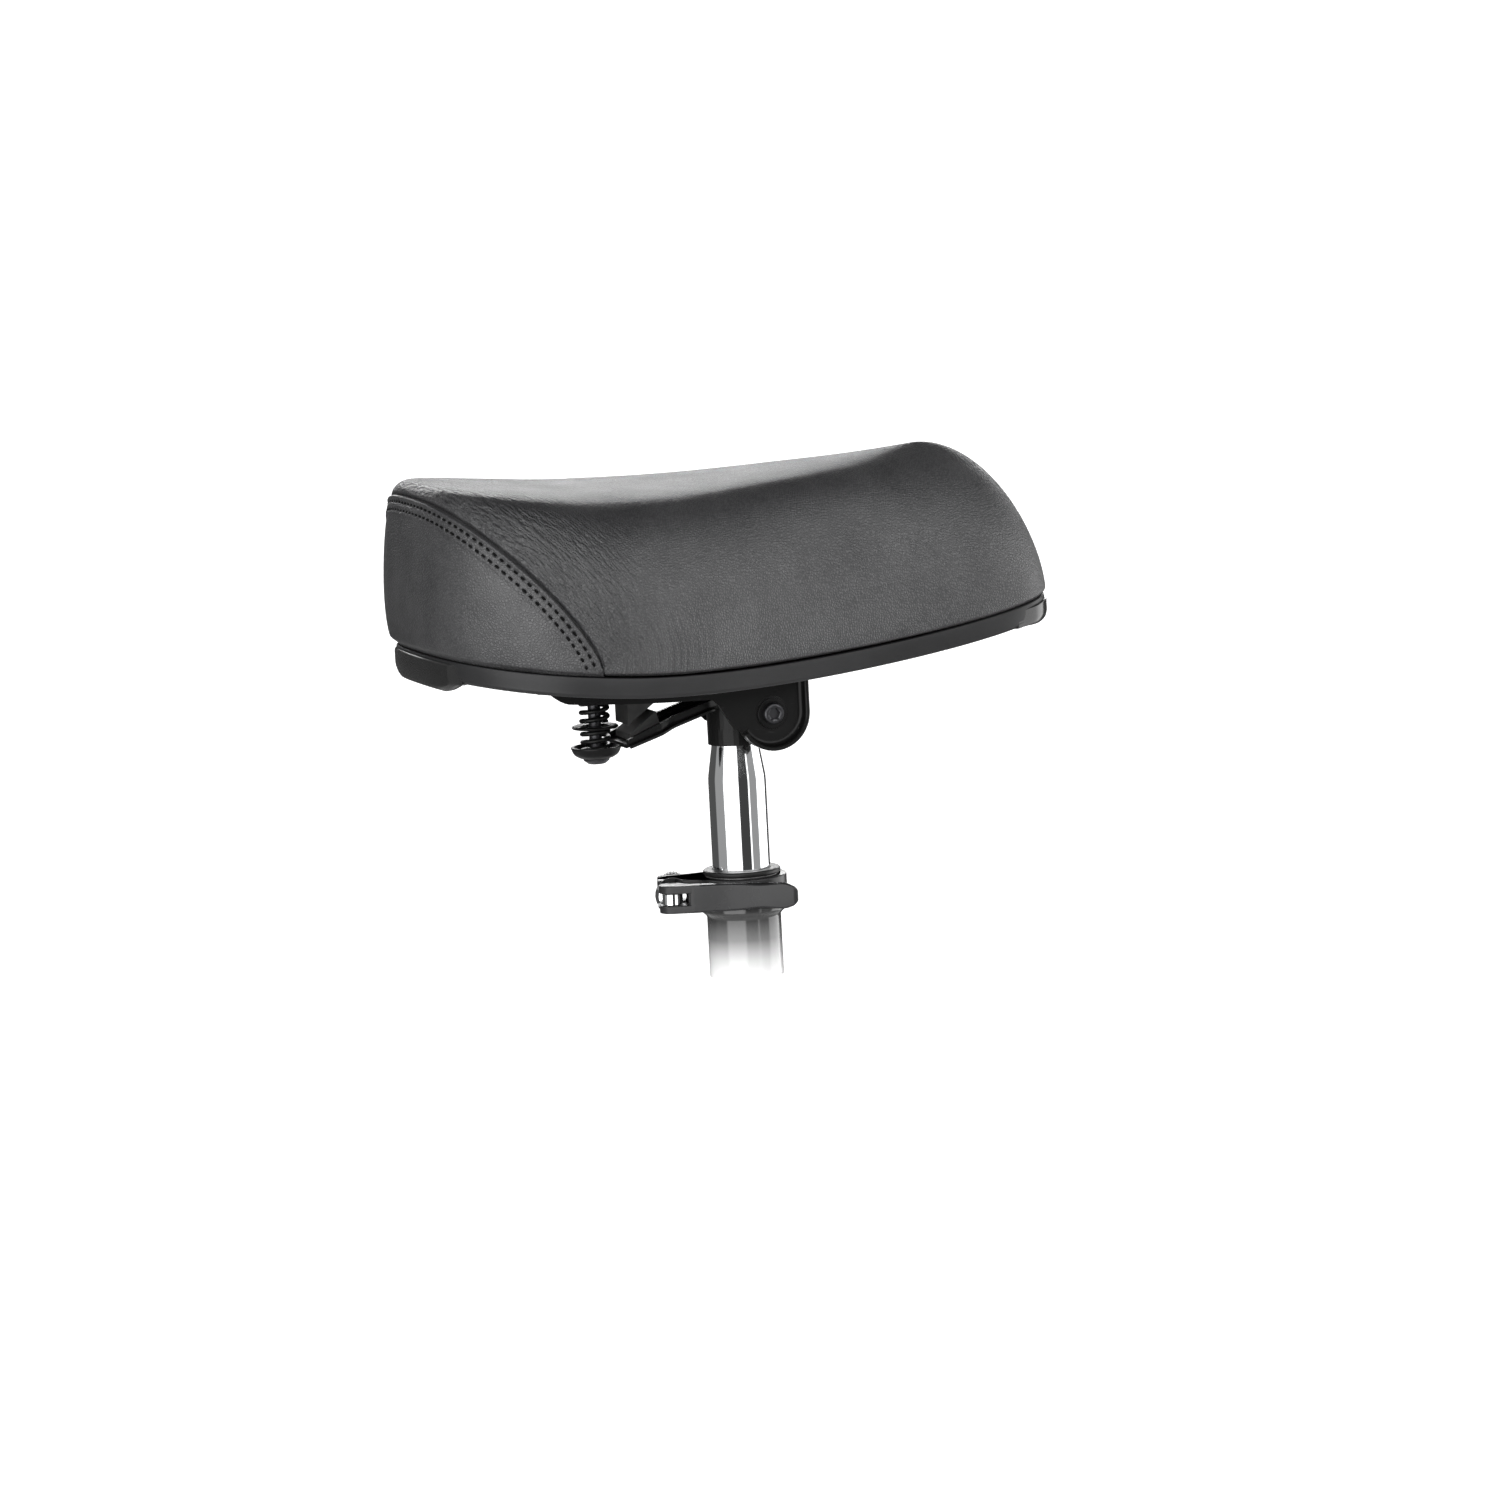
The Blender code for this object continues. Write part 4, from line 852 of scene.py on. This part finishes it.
def rocker_arm():
    """Pressed arm, open upwards: hinge eyes at the front, flanged lower edges and a dished rear end."""
    hx, hz = HINGE[0], HINGE[2]
    rear_x, front_x = SPRING_X + 10.5 * MM, 2 * MM
    x = np.linspace(rear_x, front_x, 60)
    top = np.interp(x, np.array([rear_x / MM, -44, -18.4, -4, 2]) * MM,
                    np.array([119, 124.6, 132.0, 136, 136]) * MM)
    patches = [patch(channel(x, web_height(x), np.maximum(top, web_height(x) + 2.6 * MM),
                             arm_half(x), 2.6 * MM), wrap_cols=True, capped=True)]
    eye_top = np.concatenate([[(-6.5, 135.5), (0.5, 136)], arc((hx, hz), 10 * MM, 90, -160, 60) / MM,
                              [(-6.5, 130.8)]]) * MM
    for side in (-1, 1):
        low, high = sorted((side * (ARM_HALF_WIDTH - 0.06 * MM), side * (ARM_HALF_WIDTH - SHEET + 0.06 * MM)))
        patches.append(plate(eye_top, low, high, 0.4 * MM, "Y", 3))
        run = np.linspace(rear_x + 1 * MM, -14 * MM, 40)
        outline = rounded(np.array([(-0.7, -0.1), (2.0, -0.1), (2.0, 1.3), (-0.7, 1.3)]) * MM, 0.4 * MM, 3)
        y = side * (arm_half(run)[:, None] + outline[None, :, 0])
        z = web_height(run)[:, None] + outline[None, :, 1]
        flange = np.stack([np.broadcast_to(run[:, None], z.shape), y, z], -1)
        patches.append(patch(flange, wrap_cols=True, capped=True))
    dish = rounded(np.array([(4.6, -1.7), (7.5, -1.7), (10.6, 0.2), (11.8, 3.2), (11.8, 3.9), (10.6, 3.9),
                             (9.4, 1.1), (7.2, 0.0), (4.6, 0.0)]) * MM, 1.4 * MM, 5)
    patches.append(lathe(dish, (SPRING_X, 0, DISH_FLOOR_Z), steps=96))
    return build("arm", patches, BLACK_STEEL, sharp=42)


def coil(name, low, high, turns):
    """A coil spring: a helix that lies level for a quarter turn at each end, where the wire thins out."""
    t = np.linspace(0, 1, int(turns * 40) + 1)
    ease = 0.5 / turns
    climb = np.clip((t - ease * 0.5) / (1 - ease), 0, 1)
    a = 2 * np.pi * turns * t
    centre = np.stack([SPRING_X + SPRING_RADIUS * np.cos(a), SPRING_RADIUS * np.sin(a),
                       low + SPRING_WIRE + (high - low - 2 * SPRING_WIRE) * climb], -1)
    out = np.stack([np.cos(a), np.sin(a), 0 * a], -1)
    thick = SPRING_WIRE * np.clip(np.minimum(t, 1 - t) * turns * 8 + 0.35, 0, 1) ** 0.5
    return build(name, [patch(tube_along(centre, out, thick, 12), wrap_cols=True, capped=True)], BLACK_STEEL)


def spring_stack():
    """Two springs and the plate between them, built in place of their CAD nodes."""
    plate_outline = rounded(np.array([(4.4, 0.0), (10.4, 0.0), (11.0, 0.5), (11.0, 0.9), (10.4, 1.4),
                                      (4.4, 1.4)]) * MM, 0.3 * MM, 2)
    pieces = [("spring_lower", coil("coil_lower", DISH_FLOOR_Z + GAP, SEPARATOR_Z - GAP, 3.0)),
              ("spring_upper", coil("coil_upper", SEPARATOR_Z + 1.4 * MM + GAP, SPRING_CUP_Z - GAP, 4.5)),
              ("spring_separator", build("spring_plate", [lathe(plate_outline, (SPRING_X, 0, SEPARATOR_Z))],
                                         BLACK_STEEL))]
    for node, obj in pieces:
        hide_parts(node)
        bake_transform(obj)


settle(upper_bracket(), "saddle", "black_steel", "upper_bracket")
settle(rocker_arm(), "post", "black_steel", "rocker_arm")
spring_stack()


# ---------------------------------------------------------------- hinge bolt


def hexagon(steps):
    """Angles, and a factor that turns a circle into a hexagon: cos 30 / cos(angle to the flat's middle)."""
    a = np.arange(steps) * 2 * np.pi / steps
    return math.cos(30 * DEG) / np.cos(np.mod(a, 60 * DEG) - 30 * DEG), a


def socket_screw():
    """Socket-head cap screw: rounded head with a six-sided socket, and its shank."""
    steps = 120
    shape, a = hexagon(steps)
    face = -(BRACKET_HALF_WIDTH + 1.8 * MM)
    end = BRACKET_HALF_WIDTH + 8.5 * MM
    rows = [(0.0, face - 0.3 * MM, 1), (2.95 * MM, face - 0.3 * MM, 1), (2.95 * MM, face - 2.0 * MM, 1),
            (3.35 * MM, face - 2.4 * MM, 0), (4.3 * MM, face - 2.35 * MM, 0), (4.75 * MM, face - 2.0 * MM, 0),
            (5.0 * MM, face - 1.5 * MM, 0), (5.0 * MM, face, 0), (3.0 * MM, face, 0),
            (3.0 * MM, end - 0.6 * MM, 0), (2.5 * MM, end, 0), (0.0, end, 0)]
    grid = []
    for radius, height, six in rows:
        r = radius * (shape if six else 1.0)
        level = np.full(steps, height)
        grid.append(np.stack([HINGE[0] + r * np.cos(a), level, HINGE[2] - r * np.sin(a)], -1))
    return build("hinge_screw", [patch(np.array(grid), wrap_rows=True, wrap_cols=True)], ZINC, sharp=35)


settle(socket_screw(), "saddle", "dark_zinc", "hinge_bolt")
for end_name, side in (("near", -1), ("far", 1)):
    ring = rounded(np.array([(3.3, 22.4), (7.2, 22.4), (7.2, 23.5), (3.3, 23.5)]) * MM, 0.3 * MM, 3)
    washer = build(f"washer_{end_name}", [lathe(ring * (1, side), HINGE, "Y", 72)], BLACK_STEEL)
    settle(washer, "saddle", "black_steel", f"hinge_washer_{end_name}")


# ---------------------------------------------------------------- post, tube and clamp


def seat_post():
    """Chrome tube: a straight barrel, a drawn shoulder and a narrow neck."""
    t = np.linspace(0, 1, 26)
    shoulder_z = 92 * MM + 18 * MM * t
    fall = np.where(t < 0.25, 2 * t ** 2, t - 0.125) / 0.875
    shoulder_r = POST_RADIUS - (POST_RADIUS - NECK_RADIUS) * fall
    outer = [(POST_RADIUS - 0.3 * MM, POST_FOOT_Z), (POST_RADIUS, POST_FOOT_Z + 0.4 * MM),
             (POST_RADIUS, 50 * MM), (POST_RADIUS, 80 * MM)]
    outer += list(zip(shoulder_r, shoulder_z))
    outer += [(NECK_RADIUS, NECK_TOP_Z - 0.4 * MM), (NECK_RADIUS - 0.3 * MM, NECK_TOP_Z),
              (NECK_BORE, NECK_TOP_Z), (NECK_BORE, 106 * MM), (POST_BORE, 90 * MM), (POST_BORE, POST_FOOT_Z)]
    return build("post", [lathe(outer, steps=160)], CHROME, sharp=40)


def seat_tube():
    """Frame tube stub with a stop ring under the clamp."""
    r, bore, top = TUBE_RADIUS / MM, TUBE_BORE / MM, TUBE_TOP_Z / MM
    outline = rounded(np.array([(r, 0), (r, 29.2), (20, 31.4), (20, 34.3), (r, 34.3), (r, top),
                                (bore, top), (bore, 0)]) * MM,
                      np.array([0.3, 1.2, 1.0, 0.5, 0.3, 0.3, 0.3, 0.3]) * MM, 4)
    return build("tube", [lathe(outline, steps=160)], TUBE_PAINT_WITH_PAINTED_FADE, sharp=40)


def shim_sleeve():
    """Flanged sleeve on the tube's top."""
    low = (TUBE_TOP_Z + GAP) / MM
    outline = rounded(np.array([(13.7, 20), (15.7, 20), (15.7, low), (18.2, low), (18.2, low + 1.7),
                                (17.6, low + 2.2), (13.7, low + 2.2)]) * MM, 0.4 * MM, 3)
    return build("shim", [lathe(outline, steps=128)], SHIM_PLASTIC)


def clamp_collar():
    """Split collar: a band of constant height whose two ears stand out at the rear."""
    inner = TUBE_RADIUS + 0.15 * MM
    radius, ear_out, ear_in = COLLAR_RADIUS, 9.5 * MM, 2.5 * MM
    outer_angle = math.degrees(math.asin(ear_out / radius))
    inner_angle = math.degrees(math.asin(ear_in / inner))
    ear_x = SKEWER_X - 7 * MM
    outline = np.vstack([
        rounded([(ear_x, -ear_in), (ear_x, -ear_out), (-19 * MM, -ear_out)], [0.4 * MM, 3 * MM, 0], 6)[:-5],
        arc((0, 0), radius, -180 + outer_angle, 180 - outer_angle, 96),
        rounded([(-19 * MM, ear_out), (ear_x, ear_out), (ear_x, ear_in)], [0, 3 * MM, 0.4 * MM], 6)[5:],
        arc((0, 0), inner, 180 - inner_angle, -180 + inner_angle, 96)])
    return build("collar", turned_about_z([plate(outline, COLLAR_LOW_Z, COLLAR_HIGH_Z, 0.7 * MM)], CLAMP_YAW),
                 CLAMP_BLACK, sharp=42)


def release_lever():
    """Cam lever: a long curved blade whose fork carries the cam on both sides of the skewer's eye."""
    cam = arc((SKEWER_X / MM, CAM_Y / MM), 6.2, 20, 270, 40)
    blade = np.array([(-20, -28.0), (-6, -27.8), (7, -28.6), (17, -31.0), (24, -33.0), (26, -32.2),
                      (25.6, -30), (17, -27.2), (8, -24.9), (-2, -23.6), (-14, -22.8), (-24, -21.6)])
    blade_only = rounded(np.vstack([[(-25.5, -27.9)], blade, [(-25.5, -21.9)]]) * MM, 4 * MM, 6)
    prong = np.vstack([cam, [(-20, -27.95), (-20, -22.15), (-24, -21.65)]]) * MM
    low, high = COLLAR_LOW_Z + 0.2 * MM, COLLAR_HIGH_Z
    grid, *rest = plate(blade_only, low, high, 1.1 * MM, steps=5)
    middle, x = (low + high) / 2, grid[..., 0]
    slim = 1 - 0.16 * hill(x, 9 * MM, 9 * MM)
    slim = slim * np.sqrt(np.clip(1 - ((x - 17 * MM) / (9.6 * MM)) ** 2, 0.09, 1)) ** (x > 17 * MM)
    grid[..., 2] = middle + (grid[..., 2] - middle) * slim
    patches = [(grid, *rest),
               plate(prong, low + 0.05 * MM, SKEWER_Z - 2.8 * MM, 0.5 * MM),
               plate(prong, SKEWER_Z + 2.8 * MM, high - 0.05 * MM, 0.5 * MM)]
    return build("lever", turned_about_z(patches, CLAMP_YAW), CLAMP_BLACK, sharp=42)


def adjusting_nut():
    """Knurled nut on the skewer's far end."""
    steps = 120
    a = np.arange(steps) * 2 * np.pi / steps
    near = 9.8
    rows = rounded(np.array([(2.6, near), (6.6, near), (7.2, near + 1), (7.2, near + 7), (6.0, near + 8.4),
                             (2.6, near + 8.4)]) * MM, 0.5 * MM, 3)
    knurl = 0.22 * MM * np.cos(30 * a)[None] * (rows[:, :1] > 6.8 * MM)
    r = rows[:, :1] - 0.2 * MM * (rows[:, :1] > 6.8 * MM) + knurl
    h = rows[:, 1:] + 0 * a
    grid = np.stack([SKEWER_X + r * np.cos(a), h, SKEWER_Z - r * np.sin(a)], -1)
    return build("adjuster", turned_about_z([patch(grid, wrap_rows=True, wrap_cols=True)], CLAMP_YAW),
                 CLAMP_BLACK, sharp=50)


settle(seat_post(), "post", "chrome", "seat_post")
settle(seat_tube(), "frame_tube", "tube_paint", "seat_tube")
settle(shim_sleeve(), "sleeve", "shim_plastic", "shim_sleeve")
settle(clamp_collar(), "frame_tube", "clamp_black", "clamp_collar")
settle(release_lever(), "lever", "clamp_black", "quick_release_lever")
settle(adjusting_nut(), "nut", "clamp_black", "adjusting_nut")

# ---------------------------------------------------------------- finishes of the CAD nodes that stay

FINISHES = {"base_pan": BAND_PLASTIC, "post_head": BLACK_STEEL, "stop_upper": RUBBER, "stop_lower": RUBBER,
            "hinge_bush": ZINC, "hinge_nut": ZINC, "spring_cup": BLACK_STEEL, "spring_bolt": ZINC,
            "spring_bolt_nut": ZINC, "skewer": CHROME, "cam_pin": CHROME, "cam_seat": CHROME}
FINISHES.update({f"bracket_bolt_{k}": ZINC for k in (1, 2, 3, 4)})
for node, finish in FINISHES.items():
    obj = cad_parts[node]
    obj.data.materials.clear()
    obj.data.materials.append(finish)

# ---------------------------------------------------------------- studio

scene = bpy.context.scene
scene.view_settings.view_transform = "Standard"


def studio_floor():
    """Wide plain floor: a pale paper that is bright enough to leave no horizon."""
    s = Shader("floor_paper", (0.86, 0.86, 0.86), roughness=0.9)
    s.link(s.ramp(s.noise(3.0, 2.0), [(0.3, (0.85, 0.85, 0.85)), (0.7, (0.87, 0.87, 0.87))]), "Base Color")
    s.set("Emission Color", (1, 1, 1, 1))
    s.set("Emission Strength", 0.75)
    t = np.linspace(-30, 30, 5)
    x, y = np.meshgrid(t, t, indexing="ij")
    floor = build("floor", [patch(np.stack([x, y, 0 * x - 0.0002], -1))], s.material)
    if floor.data.polygons[0].normal.z < 0:
        floor.data.flip_normals()
    floor.visible_glossy = False
    return floor


# Levels by the sine of the elevation above the horizon, in front of the object and behind it
WORLD_LEVEL = 3.0
FRONT_LIGHT = [(0.0, 2.0), (0.34, 2.0), (0.50, 0.7), (0.64, 0.05), (1.0, 0.02)]
SIDE_LIGHT = [(0.0, 0.14), (0.40, 0.10), (0.60, 0.03), (1.0, 0.02)]
BACK_LIGHT = [(0.0, 13.0), (0.12, 13.0), (0.22, 7.0), (0.32, 0.6), (0.40, 0.05), (1.0, 0.02)]
FLOOR_LEVEL = 0.2
# Bands that only the upright chrome reflects: degrees to the right of the camera, from, to and level
LOW_BANDS = [(-180, -100, 0.03), (-100, -56, 0.12), (-56, 4, 1.2), (4, 44, 0.02), (44, 48.5, 0.9),
             (48.5, 84, 0.12), (84, 137, 1.1), (137, 180, 0.03)]
BAND_SOFTNESS = 1.5
CAMERA_SIDE = -110.0      # degrees: the way from the object to the camera, seen from above


def band_stops(bands):
    """Ramp stops for a turn of the compass from bands of (from, to, level) in degrees."""
    stops = []
    for start, stop, level in bands:
        for angle in (start + BAND_SOFTNESS, stop - BAND_SOFTNESS):
            stops.append(((CAMERA_SIDE + angle) % 360 / 360, level))
    return sorted(stops)


def studio_world():
    """White to the eye; for light and reflections, a bright low ring under a dark ceiling."""
    world = bpy.data.worlds.new("studio")
    scene.world = world
    world.use_nodes = True
    tree = NodeTree(world.node_tree)
    tree.nodes.clear()
    node, maths, ramp, share = tree.node, tree.maths, tree.ramp, tree.spread

    def blend(amount, first, second):
        return maths("ADD", maths("MULTIPLY", first, maths("SUBTRACT", 1.0, amount)),
                     maths("MULTIPLY", second, amount))

    way = node("ShaderNodeTexCoord").outputs["Generated"]
    x, y, z = node("ShaderNodeSeparateXYZ", {0: way}).outputs
    side = CAMERA_SIDE * DEG
    towards = maths("ADD", maths("MULTIPLY", x, math.cos(side)), maths("MULTIPLY", y, math.sin(side)))
    above = blend(share(towards, 0.45, -0.05), ramp(z, FRONT_LIGHT), ramp(z, SIDE_LIGHT))
    above = blend(share(towards, -0.74, -0.95), above, ramp(z, BACK_LIGHT))
    compass = maths("FRACT", maths("MULTIPLY_ADD", maths("ARCTAN2", y, x), 1 / (2 * math.pi), 1.0))
    below = ramp(compass, band_stops(LOW_BANDS))
    level = blend(share(z, 0.25, 0.19), above, below)
    level = maths("MULTIPLY", blend(share(z, -0.42, -0.48), level, FLOOR_LEVEL), WORLD_LEVEL)
    glow = node("ShaderNodeBackground", {"Strength": level}).outputs[0]
    glow.node.inputs["Color"].default_value = (1, 1, 1, 1)
    plain = node("ShaderNodeBackground", {"Color": (1, 1, 1, 1), "Strength": 1.0}).outputs[0]
    seen = node("ShaderNodeLightPath").outputs["Is Camera Ray"]
    mixed = node("ShaderNodeMixShader", {0: seen, 1: glow, 2: plain}).outputs[0]
    tree.links.new(mixed, node("ShaderNodeOutputWorld").inputs["Surface"])


def softbox(name, azimuth, elevation, distance, width, height, power):
    """A rectangular lamp aimed at the middle of the saddle; azimuth 0 is the camera's side."""
    a, e = (CAMERA_SIDE + azimuth) * DEG, elevation * DEG
    aim = Vector((0, 0, 0.17))
    spot = aim + distance * Vector((math.cos(e) * math.cos(a), math.cos(e) * math.sin(a), math.sin(e)))
    lamp = bpy.data.lights.new(name, "AREA")
    lamp.shape = "RECTANGLE"
    lamp.size, lamp.size_y, lamp.energy = width, height, power
    holder = bpy.data.objects.new(name, lamp)
    holder.matrix_world = Matrix.Translation(spot) @ (spot - aim).to_track_quat("Z", "Y").to_matrix().to_4x4()
    holder.visible_camera = False
    holder.visible_glossy = False
    scene.collection.objects.link(holder)
    return holder


CAMERA_TURN = 20 * DEG
CAMERA_LIFT = 8 * DEG
CAMERA_ROLL = 3 * DEG
CAMERA_DISTANCE = 4.0
FRAME_WIDTH = 0.705
CAMERA_AIM = Vector((7.3 * MM, 0, 106.2 * MM))


def studio_camera():
    """Long lens on the rider's right (-Y), a little behind and above, rolled so that the post leans."""
    view = bpy.data.cameras.new("camera")
    view.sensor_width = 36
    view.lens = 36 * CAMERA_DISTANCE / FRAME_WIDTH
    view.clip_end = 60
    holder = bpy.data.objects.new("camera", view)
    s, c = math.sin(CAMERA_TURN), math.cos(CAMERA_TURN)
    lift, flat = math.sin(CAMERA_LIFT), math.cos(CAMERA_LIFT)
    right = Vector((c, -s, 0))
    up = Vector((s * lift, c * lift, flat))
    back = Vector((-s * flat, -c * flat, lift))
    cr, sr = math.cos(CAMERA_ROLL), math.sin(CAMERA_ROLL)
    axes = Matrix((right * cr - up * sr, right * sr + up * cr, back)).transposed()
    holder.matrix_world = Matrix.Translation(CAMERA_AIM + back * CAMERA_DISTANCE) @ axes.to_4x4()
    scene.collection.objects.link(holder)
    scene.camera = holder


studio_floor()
studio_world()
softbox("key", -30, 18, 1.8, 1.0, 0.8, 14)
studio_camera()
